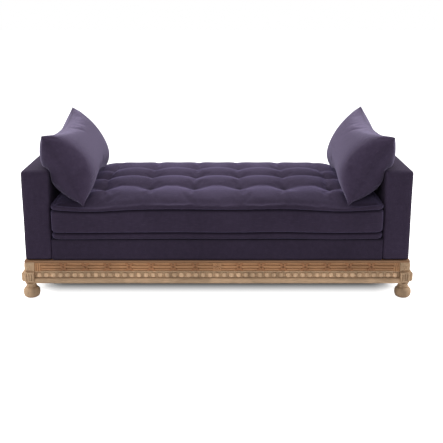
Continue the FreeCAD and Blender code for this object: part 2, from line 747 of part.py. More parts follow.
def cap_section(x, crest_middle, crest_edge, valley):
    """Outline of the stuffed top across the mattress: a lip at each edge, puffs between tuft rows."""
    edge = MATTRESS_HALF_DEPTH - CAP_INSET
    lip = MATTRESS_TOP + CAP_LIP
    rows = tuft_places(TUFT_ROWS, TUFT_ROW_PITCH)
    seams = [V(x, -edge, lip)] + [V(x, y, MATTRESS_TOP + valley) for y in rows] + [V(x, edge, lip)]
    puffs = []
    for a, b in zip(seams, seams[1:]):
        outermost = a is seams[0] or b is seams[-1]
        rise = crest_edge if outermost else crest_middle
        puffs += chords(a, V(x, (a.y + b.y) / 2, MATTRESS_TOP + rise), b, PUFF_CHORDS)
    root = MATTRESS_TOP - CAP_ROOT
    return Part.Wire(puffs + [
        line(V(x, edge, lip), V(x, edge, root)),
        line(V(x, edge, root), V(x, -edge, root)),
        line(V(x, -edge, root), V(x, -edge, lip)),
    ])


def mattress_cap():
    """Stuffed top, one loft for each row of puffs: rounded from one column of tufts to the next."""
    end = MATTRESS_HALF_LENGTH - CAP_INSET
    columns = [-end] + tuft_places(TUFT_COLUMNS, TUFT_COLUMN_PITCH) + [end]
    flat = (2 * CAP_LIP, 2 * CAP_LIP, CAP_LIP)
    drawn = (CREST_RISE_MIDDLE - CREST_DROP_AT_TUFTS, CREST_RISE_EDGE - CREST_DROP_AT_TUFTS, TUFT_RISE)
    full = (CREST_RISE_MIDDLE, CREST_RISE_EDGE, VALLEY_RISE)
    slack = (END_CREST_RISE, END_CREST_RISE, END_CREST_RISE / 2)
    rows = []
    for n in range(TUFT_COLUMNS + 1):
        first = flat if n == 0 else drawn
        last = flat if n == TUFT_COLUMNS else drawn
        middle = slack if n in (0, TUFT_COLUMNS) else full
        steps = END_PUFF_STEPS if n in (0, TUFT_COLUMNS) else PUFF_STEPS
        sections = []
        for step in range(steps + 1):
            t = step / steps
            weights = ((1 - t) * (1 - 2 * t), 4 * t * (1 - t), t * (2 * t - 1))
            heights = [sum(w * h for w, h in zip(weights, group)) for group in zip(first, middle, last)]
            sections.append(cap_section(columns[n] + t * (columns[n + 1] - columns[n]), *heights))
        rows.append(Part.makeLoft(sections, True, True))
    return rows


def build_mattress():
    """Saves the mattress and returns its outside, which the pillows lie on."""
    pieces = mattress_border() + mattress_cap()
    outside = pieces[0].multiFuse(pieces[1:]).removeSplitter()
    core = block(
        CORE_INSET - MATTRESS_HALF_LENGTH, MATTRESS_HALF_LENGTH - CORE_INSET,
        CORE_INSET - MATTRESS_HALF_DEPTH, MATTRESS_HALF_DEPTH - CORE_INSET,
        MATTRESS_BOTTOM + CORE_RISE, MATTRESS_BOTTOM + CORE_RISE + CORE_THICKNESS,
    )
    save("mattress", outside.cut(core))
    save("mattress_core", core)
    return outside


# Pillows


def pillow_contour(inset, height):
    """Level line round a pillow: its four corners, with the sides between them drawn in."""
    half = PILLOW_LENGTH / 2 - inset
    high = PILLOW_HEIGHT / 2 - inset
    drawn_long = high - PILLOW_DRAW_IN_LONG * half / (PILLOW_LENGTH / 2)
    drawn_short = half - PILLOW_DRAW_IN_SHORT * high / (PILLOW_HEIGHT / 2)
    corners = [V(-half, -high, height), V(half, -high, height), V(half, high, height), V(-half, high, height)]
    middles = [
        V(0, -drawn_long, height), V(drawn_short, 0, height),
        V(0, drawn_long, height), V(-drawn_short, 0, height),
    ]
    counts = [PILLOW_LONG_CHORDS, PILLOW_SHORT_CHORDS] * 2
    points = []
    for n in range(4):
        points += along_arc(corners[n], middles[n], corners[(n + 1) % 4], counts[n])[:-1]
    return points


def pillow_face(crown):
    """One stuffed side of a pillow: level lines that rise from the seam to the crown."""
    contours = []
    for layer in range(PILLOW_LAYERS):
        size = math.cos(math.pi / 2 * layer / PILLOW_LAYERS)
        rise = crown * (1 - size * size) ** PILLOW_SHARPNESS
        contours.append(pillow_contour((1 - size) * PILLOW_HEIGHT / 2, rise))
    return [frustum(lower, upper) for lower, upper in zip(contours, contours[1:])]


def pillow():
    """Knife-edged pillow in its own frame: length along X, height along Y, its front towards +Z."""
    layers = pillow_face(PILLOW_FRONT_CROWN) + pillow_face(-PILLOW_BACK_CROWN)
    return layers[0].multiFuse(layers[1:]).removeSplitter()


def pillow_insert():
    """Feather pad inside a pillow cover."""
    half_length = PILLOW_LENGTH / 2 - PILLOW_INSERT_INSET
    half_height = PILLOW_HEIGHT / 2 - PILLOW_INSERT_INSET
    front = PILLOW_INSERT_THICKNESS * PILLOW_FRONT_CROWN / (PILLOW_FRONT_CROWN + PILLOW_BACK_CROWN)
    return block(
        -half_length, half_length, -half_height, half_height, front - PILLOW_INSERT_THICKNESS, front,
    )


def leaning(shape):
    """Stands a pillow up on its long edge, leans it towards the right-hand arm and turns it a little."""
    posed = shape.copy()
    posed.rotate(ORIGIN, AXIS_Z, PILLOW_ROLL)
    posed.rotate(ORIGIN, AXIS_X, 90)
    posed.rotate(ORIGIN, AXIS_Z, -90)
    posed.rotate(ORIGIN, AXIS_Y, PILLOW_LEAN)
    posed.rotate(ORIGIN, AXIS_Z, PILLOW_TURN)
    return posed


def advance(shapes, direction, support, gap):
    """Moves shapes along a direction until the first is a small gap away from its support."""
    for _ in range(12):
        room = shapes[0].distToShape(support)[0]
        if room <= gap * 1.1:
            break
        step = direction * (room - gap)
        for shape in shapes:
            shape.translate(step)
    return shapes


def build_pillows(arm, mattress):
    outer = leaning(pillow())
    insert = leaning(pillow_insert())
    start_x = ARM_INNER_X - PILLOW_APPROACH
    start_z = MATTRESS_TOP + CREST_RISE_MIDDLE + PILLOW_HEIGHT / 2
    pair = [moved(s, x=start_x, y=-PILLOW_FORWARD, z=start_z) for s in (outer, insert)]
    advance(pair, -AXIS_Z, mattress, PILLOW_REST_ROOM)
    advance(pair, AXIS_X, arm, PILLOW_ARM_ROOM)
    advance(pair, -AXIS_Z, Part.makeCompound([arm, mattress]), SOFT_GAP)
    outer, insert = pair
    cover = outer.cut(insert)
    save("right_pillow_cover", cover)
    save("left_pillow_cover", mirrored_x(cover))
    save("right_pillow_insert", insert)
    save("left_pillow_insert", mirrored_x(insert))


def main():
    os.makedirs("parts", exist_ok=True)
    build_plinth()
    build_seat_frame()
    arm = build_arms()
    mattress = build_mattress()
    build_pillows(arm, mattress)


main()
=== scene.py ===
"""Looks of the tufted daybed: stuffed linen pieces, carved limed wood, floor, light and camera.

Metres, +Z up, origin on the floor under the middle of the daybed, front towards -Y.
"""
import math

import bmesh
import bpy
import numpy as np
from mathutils import Euler, Matrix, Vector, noise
from mathutils.bvhtree import BVHTree


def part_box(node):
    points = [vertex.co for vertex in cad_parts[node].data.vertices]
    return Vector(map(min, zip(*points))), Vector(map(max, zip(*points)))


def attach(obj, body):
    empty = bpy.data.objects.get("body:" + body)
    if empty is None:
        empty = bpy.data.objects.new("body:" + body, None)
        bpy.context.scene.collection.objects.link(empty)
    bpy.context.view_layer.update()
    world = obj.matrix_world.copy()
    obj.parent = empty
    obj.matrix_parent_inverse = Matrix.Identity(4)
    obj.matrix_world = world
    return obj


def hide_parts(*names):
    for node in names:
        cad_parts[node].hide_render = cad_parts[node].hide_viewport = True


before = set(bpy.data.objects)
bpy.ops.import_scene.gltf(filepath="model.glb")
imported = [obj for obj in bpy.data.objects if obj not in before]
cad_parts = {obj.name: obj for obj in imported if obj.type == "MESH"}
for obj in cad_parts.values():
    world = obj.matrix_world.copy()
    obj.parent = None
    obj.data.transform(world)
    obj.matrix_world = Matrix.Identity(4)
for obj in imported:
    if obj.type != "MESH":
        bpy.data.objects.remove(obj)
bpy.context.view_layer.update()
scene = bpy.context.scene

SIDES = {"front": 0, "right": 90, "back": 180, "left": 270}
LONG_SIDES = ("front", "back")
NEAR = 1e-5
OVERHEAD = 1.2

# Plinth, seen from one side: outward is -Y, the face of the corner posts is at Y = 0
HALF_LENGTH = 0.980
HALF_DEPTH = 0.455
POST_SIDE = 0.048
PANEL_REACH = 0.004
CARVING_RECESS = 0.012
CARVING_GROUND = 0.003
CARVING_PLAY = 0.001
FRIEZE_SHARP = 40
ROUND_SHARP = 50

# Reeded frieze with its ribbons, its rosette and the fluted stops at its ends
FRIEZE_LOW = 0.1455
FRIEZE_HIGH = 0.1925
FRIEZE_MIDDLE = (FRIEZE_LOW + FRIEZE_HIGH) / 2
REED_COUNT = 3
REED_REACH = 0.0115
REED_GAP = 0.0002
REED_SETBACK = 0.003
REED_CURVE = 0.82
RIBBON_STEP = 0.112
RIBBON_END = 0.25
RIBBON_WIDTH = 0.014
RIBBON_SLANT = 0.034
RIBBON_CELLS = 8
RIBBON_INSET = 0.0005
RIBBON_LIFT = 0.0022
RIBBON_THICKNESS = 0.0045
STOP_WIDTH = 0.032
STOP_REACH = 0.008
STOP_FLUTES = 3
FLUTE_GAP = 0.0004
FLUTE_INSET = 0.001
ROSETTE_REACH = 0.012
ROSETTE_HALF = 0.0215
ROSETTE_DEPTH = 0.010

# Flowers: number of petals, their distance from the middle, half axes of a petal and of the heart
ROSETTE_FLOWER = (8, 0.0118, (0.0072, 0.0032, 0.0044), (0.0055, 0.0050, 0.0055))
CORNER_FLOWER = (4, 0.0085, (0.0065, 0.0026, 0.0045), (0.0040, 0.0038, 0.0040))

# Strip of pearls with small spacers between them
PEARL_Z = 0.124
PEARL_RADIUS = 0.0145
PEARL_REACH = 0.0105
PEARL_STEP = 0.0364
PEARL_STRIP = 0.0282
SPACER = (0.003, 0.005, 0.0075)

# Feet, as radius and height of the turned outline from the floor up
FOOT_PLACE = (0.956, 0.431)
FOOT_OUTLINE = (
    (0.0, 0.004), (0.030, 0.004), (0.0370, 0.009), (0.0412, 0.018), (0.0425, 0.029), (0.0415, 0.040),
    (0.0375, 0.049), (0.0320, 0.054), (0.0262, 0.055), (0.0262, 0.0572), (0.0278, 0.059), (0.0278, 0.0625),
    (0.0250, 0.064), (0.0238, 0.070), (0.0255, 0.074), (0.0285, 0.0758), (0.0285, 0.0798), (0.0, 0.0798),
)
FOOT_STEPS = 56

# Mattress and its tufts
MATTRESS_HALF = Vector((0.838, 0.468, 0.090))
MATTRESS_LOW = 0.3178
MATTRESS_TOP = 0.4978
MATTRESS_CORNER = 0.045
MATTRESS_CELLS = (152, 84)
TUFT_FIRST = -0.5875
TUFT_STEP = 0.235
TUFT_X = [TUFT_FIRST + TUFT_STEP * i for i in range(6)]
TUFT_Y = [-0.200, 0.0, 0.200]
TUFTS = [(x, y) for x in TUFT_X for y in TUFT_Y]
STITCH_HALF = 0.006
STITCH_LIFT = 0.0006
STITCH_RADIUS = 0.0012

# Puffs of the mattress: rises over the roll, and powers and shares of a span that shape them
TUFT_RISE = 0.002
VALLEY_RISE = 0.032
CREST_RISE = 0.060
EDGE_CREST_RISE = 0.047
CREST_DROP = 0.016
BACK_CREST_DROP = 0.013
PUFF_ROUNDNESS = 0.8
VALLEY_ROUNDNESS = 0.85
EDGE_ARCH = 1.1
CREASE_FADE = (0.15, 0.60)
END_PUFF = 0.75
END_PUFF_PITCH = 1.6
END_PUFF_REACH = 0.62
END_RISE = 0.004
END_SLACK = 0.25
LOW_END = 0.55
PANEL_DROP = 0.014
TUFT_HOLD = 0.011

# Rolls and boxing of the mattress, with the levels of its rows of points from each edge
TOP_ROLL = 0.024
LOW_ROLL = 0.032
ROLL_DEPTH = 0.010
LOW_ROLL_DEPTH = 0.016
ROLL_DIP = 0.009
DIP_PLACE = 0.011
DIP_SPREAD = 0.008
BOXING_BELLY = 0.005
ROLL_SAG = {-1: 0.016, 1: 0.012}
SAG_PLACE = 0.63
SAG_SPREAD = 0.16
SAG_FRONT = (0.34, 0.46)
GROOVE_GAP = 0.0025
GROOVE_WIDTH = 0.0045
GROOVE_DEPTH = 0.015
SIDE_DRIFT = 0.003
SIDE_DRIFT_SCALE = 2.3
SIDE_DRIFT_SEED = 4.0
LEVEL_DRIFT = 0.004
LEVEL_DRIFT_SCALE = 3.1
LEVEL_DRIFT_RISE = 0.4
TOP_LEVELS = (0.0, 0.0025, 0.006, 0.010, 0.015, 0.0195, 0.022, 0.0245,
              0.0265, 0.0285, 0.0315, 0.036, 0.046, 0.065, 0.090)
LOW_LEVELS = (0.0, 0.0035, 0.008, 0.013, 0.019, 0.025, 0.029, 0.032,
              0.0345, 0.037, 0.040, 0.044, 0.052, 0.068, 0.090)

# Ears of the mattress, which swell out in front of the arms
EAR_REACH = 0.011
EAR_WIDTH = 0.06
EAR_GAP = 0.001
EAR_EDGE = 0.004

# Painted shade on the cloth at stitches and tufts, along sewn edges and where pieces meet
STITCH_SHADE = 0.75
TUFT_SHADE = 0.8
TUFT_SPREAD = 0.016
CONTACT_SHADE = 0.95
MATTRESS_CONTACT = 0.009
PADDING_CONTACT = 0.007
LONG_SEAM_SHADE = 0.5
SHORT_SEAM_SHADE = 0.2
SEAM_FROM = 0.999

# Arms, borders and deck
ARM_INNER = 0.840
ARM_OUTER = 0.975
ARM_FRONT = 0.450
ARM_LOW = 0.2032
ARM_TOP = 0.667
ARM_CELLS = (12, 64, 34)
ARM_ROUNDING = 0.013
ARM_SIDE_CROWN = 0.003
ARM_TOP_CROWN = 0.004
ARM_FRONT_CROWN = 0.004
ARM_WAVE = 0.0012
ARM_WAVE_SCALE = 5.0
FACE_DEPTH = 1e-4
SEAM_INSET = 0.009
SEAM_WIDTH = 0.0035
SEAM_DEPTH = 0.0016
BORDER_CELLS = (140, 3, 14)
BORDER_WAVE = 0.0012
BORDER_WAVE_SCALE = (2.7, 5.0)
DECK_CELLS = (84, 44, 4)
PANEL_ROUNDING = 0.008

# Dust cloth under the plinth, cut off at its corners
DUST_CELLS = (48, 24)
DUST_CORNER = 0.075
DUST_SAG = 0.006
DUST_LIFT = 0.0004
DUST_THICKNESS = 0.0006

# Pillows: angles in degrees, ends as a power and a root, profiles as powers over and under the fullest line
PILLOW_LENGTH = 0.805
PILLOW_HEIGHT = 0.414
PILLOW_CELLS = (74, 37, 1)
PILLOW_FRONT = 0.107
PILLOW_FRONT_PROFILE = (0.74, 0.62)
PILLOW_BACK = 0.106
PILLOW_BACK_PROFILE = (0.80, 0.85)
PILLOW_UNEVEN = 0.08
PILLOW_DRAW_LONG = 0.042
PILLOW_DRAW_SHORT = 0.034
PILLOW_CORNER = 0.02
PILLOW_LEAN = 27.5
PILLOW_ROLL = -2.5
PILLOW_TURN = 1.5
PILLOW_TWIST = {-1: 0.0, 1: 4.0}
PILLOW_SINK = 0.008
PILLOW_CLEARANCE = 0.0025
NEAR_END = (7, 0.5)
FAR_END = (6, 0.60)
DENT_LEAST = 0.001
DENT_RINGS = 3
DENT_ROUNDS = 6
DENT_SEAM = 0.1

# Stuffing by a cloth simulation: pressure, greatest move and give of the cloth
TOP_STUFFING = (2.0, 0.006, 0.012)
PILLOW_STUFFING = (3.0, 0.010, 0.02)
STUFFING_FRAMES = 20
STIFFNESS = 25.0
CLOTH_SETTINGS = {
    "quality": 7, "mass": 0.25, "air_damping": 2.0, "tension_stiffness": STIFFNESS,
    "compression_stiffness": STIFFNESS, "shear_stiffness": STIFFNESS * 0.4, "bending_stiffness": 0.4,
    "use_pressure": True,
}

# Light panels: place, target, width, height and power in watts
PANELS = {
    "ceiling_panel": ((-0.2, 0.9, 3.3), (0, 0, 0.4), 3.4, 2.0, 70.0),
    "left_panel": ((-3.2, 0.2, 2.2), (0.4, 0, 0.6), 1.6, 1.6, 78.0),
    "right_panel": ((3.2, 0.2, 2.2), (-0.4, 0, 0.6), 1.6, 1.6, 78.0),
    "front_panel": ((-0.8, -4.6, 2.4), (0, 0, 0.3), 2.6, 1.6, 39.0),
}
WORLD_STRENGTH = 0.38

# Floor: it turns to plain white between these distances from the middle of the daybed
FLOOR_HALF = 30.0
FLOOR_GREY = 0.86
WHITE_ASIDE = (0.87, 1.02)
WHITE_AHEAD = (0.22, 0.42)

# Camera, fitted to the photo
CAMERA_PLACE = (0.022, -4.160, 1.511)
CAMERA_TILT = 76.06
CAMERA_LENS = 62.57
CAMERA_SENSOR = 36.0
CAMERA_SHIFT = -0.079

# Colours
WOOD = (0.64, 0.435, 0.275)
# Lighter copy of the rail wood: a painted highlight on the pearls
PEARL_WOOD = (0.7552, 0.5133, 0.3245)
POST_WOOD = (0.53, 0.360, 0.225)
FOOT_WOOD = (0.4717, 0.3204, 0.20025)
FRIEZE_WOOD = (0.480, 0.255, 0.128)
# Darker wood of the ribbons: painted shade for the dark zones of the frieze
RIBBON_WOOD = (0.395, 0.185, 0.088)
DEEP_WOOD = (0.240, 0.118, 0.057)
AUBERGINE = (0.0245, 0.0165, 0.0335)
AUBERGINE_LIGHT = (0.054, 0.039, 0.073)
VIOLET = (0.57, 0.47, 0.90)
GREY_VIOLET = (0.64, 0.57, 0.84)
FRAME_WOOD = (0.55, 0.40, 0.25)
STEEL = (0.55, 0.55, 0.56)
PLASTIC = (0.03, 0.03, 0.03)

# Linens: tint of the aubergine, threads to the metre, weight and tint of the sheen
LINENS = {
    "aubergine_linen": (0.96, 900.0, 0.275, VIOLET),
    # The arm linen is a shaded copy of the linen: no sheen darkens the arm tops as painted shade of the
    # pillows, and a lighter tint keeps the fronts
    "arm_linen": (1.07, 900.0, 0.0, VIOLET),
    "pillow_linen": (1.38, 900.0, 0.44, GREY_VIOLET),
    # The border's darker tint is painted shade under the overhang of the mattress
    "border_linen": (0.84, 900.0, 0.27, VIOLET),
    "decking_cloth": (0.8, 1100.0, 0.15, VIOLET),
}

# Carved woods: colour, turn of the grain from X, and how much shade is left out low on the rails
UPRIGHT = (0, math.pi / 2, 0)
ACROSS = (0, 0, math.pi / 2)
ALONG = (0, 0, 0)
WOODS = {
    "limed_wood_along": (WOOD, ALONG, 0.7),
    "limed_wood_across": (WOOD, ACROSS, 0.7),
    "pearl_wood": (PEARL_WOOD, UPRIGHT, 0.0),
    "limed_wood_upright": (POST_WOOD, UPRIGHT, 0.0),
    "foot_wood": (FOOT_WOOD, UPRIGHT, 0.0),
    "carved_wood_along": (FRIEZE_WOOD, ALONG, 0.0),
    "carved_wood_across": (FRIEZE_WOOD, ACROSS, 0.0),
    "ribbon_wood_along": (RIBBON_WOOD, ALONG, 0.0),
    "ribbon_wood_across": (RIBBON_WOOD, ACROSS, 0.0),
}

# Coarse cloths: colour and threads to the metre
ROUGH_CLOTHS = {
    "jute_webbing": ((0.42, 0.33, 0.21), 500.0),
    "black_dust_cloth": ((0.018, 0.018, 0.020), 900.0),
    "stitching_twine": ((0.070, 0.056, 0.082), 1500.0),
}

# Weave of the linen: scales to the metre, shares of threads, slubs, clouds and mottle
WOBBLE_SCALE = 38.0
WARP_WOBBLE = 5.0
WEFT_WOBBLE = 4.0
SLUB_STRETCHES = ((26.0, 900.0, 1.0), (900.0, 26.0, 1.0))
SLUB_RANGE = (0.56, 0.74)
CLOUD_SCALE = 3.2
MOTTLE_SCALE = 46.0
LINEN_TONE = (0.16, 0.22, 0.55, 0.45)
LINEN_TONE_LESS = 0.2
LINEN_TONE_RANGE = (0.0, 0.9)
LINEN_RELIEF = (0.35, 0.5, 0.5)
# Tint of the painted shade at stitches, tufts, seams and where pieces meet
PAINTED_SHADE_TINT = 0.3

# Limed wood: noises, wear and shelter with their tints and shares, and heights of bands on the rails; the
# shelter is painted shade in the carving, and the fillet band is painted shade under the cloth
FIGURE_STRETCH = (2.2, 26.0, 26.0)
FIGURE_RANGE = (0.32, 0.70)
FIGURE_TINTS = (0.66, 1.05)
PORE_STRETCH = (16.0, 420.0, 420.0)
PORE_RANGE = (0.57, 0.70)
PORE_TINT = 0.72
PORE_SHARE = 0.45
BLOTCH_SCALE = 7.5
BLOTCH_RANGE = (0.42, 0.66)
BLOTCH_TINT = 1.25
BLOTCH_SHARE = 0.6
WEAR_RADIUS = 0.0022
WEAR_RANGE = (0.01, 0.16)
WEAR_TINT = 1.35
WEAR_SHARE = 0.55
SHELTER_DISTANCE = 0.022
SHELTER_RANGE = (0.25, 0.90)
LOW_BAND = (0.106, 0.113)
# Band of painted shade on the top fillet, under the cloth border
FILLET_BAND = (0.190, 0.195)
FILLET_SHARE = 0.90


class Wire:
    """An output of a node. Arithmetic on it adds Math nodes to the same material."""

    def __init__(self, tree, socket):
        self.tree = tree
        self.socket = socket

    def node(self, kind, settings=None, inputs=None, output=0):
        made = self.tree.nodes.new(kind)
        for key, value in (settings or {}).items():
            setattr(made, key, value)
        for key, value in (inputs or {}).items():
            if isinstance(value, Wire):
                self.tree.links.new(value.socket, made.inputs[key])
            else:
                made.inputs[key].default_value = value
        return Wire(self.tree, made.outputs[output])

    def math(self, operation, first, second=0.0):
        return self.node("ShaderNodeMath", {"operation": operation}, {0: first, 1: second})

    def __add__(self, other):
        return self.math("ADD", self, other)

    def __sub__(self, other):
        return self.math("SUBTRACT", self, other)

    def __rsub__(self, other):
        return self.math("SUBTRACT", other, self)

    def __mul__(self, other):
        return self.math("MULTIPLY", self, other)

    __radd__ = __add__
    __rmul__ = __mul__

    def __abs__(self):
        return self.math("ABSOLUTE", self)

    def larger(self, other):
        return self.math("MAXIMUM", self, other)

    def sine(self):
        return self.math("SINE", self)

    def axes(self):
        """X, Y and Z of this vector."""
        split = self.node("ShaderNodeSeparateXYZ", None, {0: self}).socket.node
        return [Wire(self.tree, socket) for socket in split.outputs]

    def between(self, low, high):
        """From 0 at low to 1 at high, with soft ends."""
        settings = {"interpolation_type": "SMOOTHSTEP"}
        return self.node("ShaderNodeMapRange", settings, {"Value": self, "From Min": low, "From Max": high})

    def stretched(self, scale, turn=(0, 0, 0)):
        return self.node("ShaderNodeMapping", None, {"Vector": self, "Scale": scale, "Rotation": turn})

    def noise(self, scale, detail=3.0, roughness=0.55):
        values = {"Vector": self, "Scale": scale, "Detail": detail, "Roughness": roughness}
        return self.node("ShaderNodeTexNoise", None, values)

    def mix(self, first, second):
        """Colour between first and second by this factor."""
        return self.node("ShaderNodeMix", {"data_type": "RGBA"}, {0: self, 6: first, 7: second}, 2)

    def bump(self, strength, distance, normal=None):
        values = {"Height": self, "Strength": strength, "Distance": distance}
        if normal is not None:
            values["Normal"] = normal
        return self.node("ShaderNodeBump", None, values)


def new_material(name):
    """A material, its Principled shader and a wire that adds nodes to it."""
    material = bpy.data.materials.new(name)
    material.use_nodes = True
    tree = material.node_tree
    shader = tree.nodes["Principled BSDF"]
    return material, shader, Wire(tree, None)


def dress(shader, colour, roughness, normal, specular):
    """Connects what varies over a surface to its shader."""
    for socket, wire in (("Base Color", colour), ("Roughness", roughness), ("Normal", normal)):
        wire.tree.links.new(wire.socket, shader.inputs[socket])
    shader.inputs["Specular IOR Level"].default_value = specular


def rgba(red, green, blue):
    return (red, green, blue, 1.0)


def tint(colour, factor):
    return rgba(*(min(1.0, c * factor) for c in colour))


def blend(wires, shares):
    """Sum of wires, each by its share."""
    return sum(wire * share for wire, share in zip(wires, shares))


def seen_ray(start):
    """1 for rays of the camera, also in a reflection or through glass."""
    path = start.node("ShaderNodeLightPath").socket.node
    kinds = ("Is Camera Ray", "Is Glossy Ray", "Is Transmission Ray")
    seen, glossy, clear = (Wire(start.tree, path.outputs[kind]) for kind in kinds)
    return seen.larger(glossy.larger(clear))


def linen(name, depth, threads, sheen, sheen_tint):
    """Plain-woven slubby cloth on the piece's own weave map, which is in metres."""
    material, shader, start = new_material(name)
    weave_map = start.node("ShaderNodeUVMap", {"uv_map": "weave"})
    place = start.node("ShaderNodeTexCoord", output="Object")
    across, along, _ = weave_map.axes()
    wobble = weave_map.noise(WOBBLE_SCALE, 2.0)
    turn = threads * math.pi
    over = (across * turn + wobble * WARP_WOBBLE).sine() * (along * turn + wobble * WEFT_WOBBLE).sine()
    slubs = sum(weave_map.stretched(scale).noise(1.0, 1.0).between(*SLUB_RANGE) for scale in SLUB_STRETCHES)
    cloud = place.noise(CLOUD_SCALE, 3.0)
    mottle = place.noise(MOTTLE_SCALE, 4.0, 0.65)
    tone = blend((over, slubs, cloud, mottle), LINEN_TONE) - LINEN_TONE_LESS
    dark = tint(AUBERGINE, depth)
    colour = tone.between(*LINEN_TONE_RANGE).mix(dark, tint(AUBERGINE_LIGHT, depth))
    # Painted shade from the seam_shade mask: darker in stitched grooves, tuft creases, along seams and where
    # pieces meet
    painted_shade = start.node("ShaderNodeAttribute", {"attribute_name": "seam_shade"}, output="Fac")
    relief = blend((over, slubs, mottle), LINEN_RELIEF).bump(0.45, 0.0006)
    dress(shader, painted_shade.mix(colour, tint(dark[:3], PAINTED_SHADE_TINT)), 0.80 + mottle * 0.16, relief, 0.15)
    shader.inputs["Sheen Weight"].default_value = sheen
    shader.inputs["Sheen Roughness"].default_value = 0.42
    shader.inputs["Sheen Tint"].default_value = rgba(*sheen_tint)
    return material


def limed_wood(name, raised, grain_turn, soft_low):
    """Weathered wood with its grain along one axis: pale on what stands out, darker in the carving."""
    material, shader, start = new_material(name)
    place = start.node("ShaderNodeTexCoord", output="Object")
    height_over_floor = place.axes()[2]
    along = place.stretched((1.0, 1.0, 1.0), grain_turn)
    figure = along.stretched(FIGURE_STRETCH).noise(1.0, 5.0, 0.6)
    pores = along.stretched(PORE_STRETCH).noise(1.0, 2.0, 0.5).between(*PORE_RANGE)
    blotch = place.noise(BLOTCH_SCALE, 3.0, 0.6).between(*BLOTCH_RANGE)
    soft_normal = start.node("ShaderNodeBevel", {"samples": 4}, {"Radius": WEAR_RADIUS})
    face_normal = start.node("ShaderNodeNewGeometry", output="Normal")
    normals = {0: soft_normal, 1: face_normal}
    agree = start.node("ShaderNodeVectorMath", {"operation": "DOT_PRODUCT"}, normals, "Value")
    worn = (1 - agree).between(*WEAR_RANGE)
    # Painted shade: the wood turns to the recess colour where the AO node finds it sheltered
    open_sky = start.node("ShaderNodeAmbientOcclusion", {"samples": 6}, {"Distance": SHELTER_DISTANCE}, "AO")
    shelter = (1 - open_sky).between(*SHELTER_RANGE)
    shelter = shelter * (1 - (1 - height_over_floor.between(*LOW_BAND)) * soft_low)
    recess = rgba(*DEEP_WOOD)
    wood = figure.between(*FIGURE_RANGE).mix(*(tint(raised, factor) for factor in FIGURE_TINTS))
    wood = (blotch * BLOTCH_SHARE).mix(wood, tint(raised, BLOTCH_TINT))
    wood = shelter.mix(wood, recess)
    wood = (pores * PORE_SHARE).mix(wood, tint(DEEP_WOOD, PORE_TINT))
    wood = (worn * WEAR_SHARE).mix(wood, tint(raised, WEAR_TINT))
    # Painted shade on the fillet under the cloth border
    wood = (height_over_floor.between(*FILLET_BAND) * FILLET_SHARE).mix(wood, recess)
    relief = (figure * 0.6 - pores * 0.8).bump(0.35, 0.0012, soft_normal)
    dress(shader, wood, 0.58 + figure * 0.22 + shelter * 0.10, relief, 0.30)
    return material


def plain_wood(name, colour):
    """Sawn hardwood or board of the hidden frame."""
    material, shader, start = new_material(name)
    place = start.node("ShaderNodeTexCoord", output="Object")
    figure = place.stretched((7.0, 7.0, 7.0)).noise(2.0, 5.0, 0.6)
    fibres = place.stretched((40.0, 40.0, 180.0)).noise(1.0, 2.0)
    tone = (figure * 0.7 + fibres * 0.3).between(0.3, 0.7)
    wood = tone.mix(tint(colour, 0.7), rgba(*colour))
    dress(shader, wood, 0.62 + fibres * 0.2, fibres.bump(0.3, 0.001), 0.5)
    return material


def rough_cloth(name, colour, threads):
    """Coarse cloth of webbing, dust cloth and twine, woven on the object's own axes."""
    material, shader, start = new_material(name)
    place = start.node("ShaderNodeTexCoord", output="Object")
    across, along, _ = place.axes()
    over = (across * (threads * math.pi)).sine() * (along * (threads * math.pi)).sine()
    fuzz = place.noise(160.0, 3.0)
    tone = (over * 0.25 + fuzz).between(0.2, 0.8)
    cloth = tone.mix(tint(colour, 0.65), tint(colour, 1.2))
    relief = (over * 0.5 + fuzz * 0.6).bump(0.4, 0.0007)
    dress(shader, cloth, 0.82 + fuzz * 0.14, relief, 0.12)
    return material


def smooth_material(name, colour, metallic, roughness):
    """Steel plates and plastic glides: one colour with fine scuffs."""
    material, shader, start = new_material(name)
    place = start.node("ShaderNodeTexCoord", output="Object")
    scuffs = place.noise(90.0, 4.0, 0.7)
    skin = scuffs.between(0.3, 0.75).mix(tint(colour, 0.75), rgba(*colour))
    dress(shader, skin, roughness + scuffs * 0.2, scuffs.bump(0.15, 0.0005), 0.5)
    shader.inputs["Metallic"].default_value = metallic
    return material


def make_materials():
    made = {name: linen(name, *look) for name, look in LINENS.items()}
    made.update({name: limed_wood(name, *look) for name, look in WOODS.items()})
    made.update({name: rough_cloth(name, *look) for name, look in ROUGH_CLOTHS.items()})
    made["frame_hardwood"] = plain_wood("frame_hardwood", FRAME_WOOD)
    made["plate_steel"] = smooth_material("plate_steel", STEEL, 1.0, 0.35)
    made["glide_plastic"] = smooth_material("glide_plastic", PLASTIC, 0.0, 0.45)
    return made


def new_object(name, data):
    made = bpy.data.objects.new(name, data)
    scene.collection.objects.link(made)
    return made


def new_mesh(name, bm):
    mesh = bpy.data.meshes.new(name)
    bm.to_mesh(mesh)
    bm.free()
    return mesh


def piece(name, bm, material, body):
    """A finished mesh that rides on a body of the frame."""
    made = new_object(name, new_mesh(name, bm))
    made.data.shade_smooth()
    made.data.materials.append(material)
    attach(made, body)
    return made


def refine(made):
    """Live subdivision of a stuffed piece."""
    finer = made.modifiers.new("finer", "SUBSURF")
    finer.levels = 1
    finer.render_levels = 1


def points_of(mesh):
    flat = np.empty(len(mesh.vertices) * 3, np.float32)
    mesh.vertices.foreach_get("co", flat)
    return flat.reshape(-1, 3).astype(float)


def put_points(mesh, points):
    mesh.vertices.foreach_set("co", np.asarray(points, np.float32).ravel())
    mesh.update()


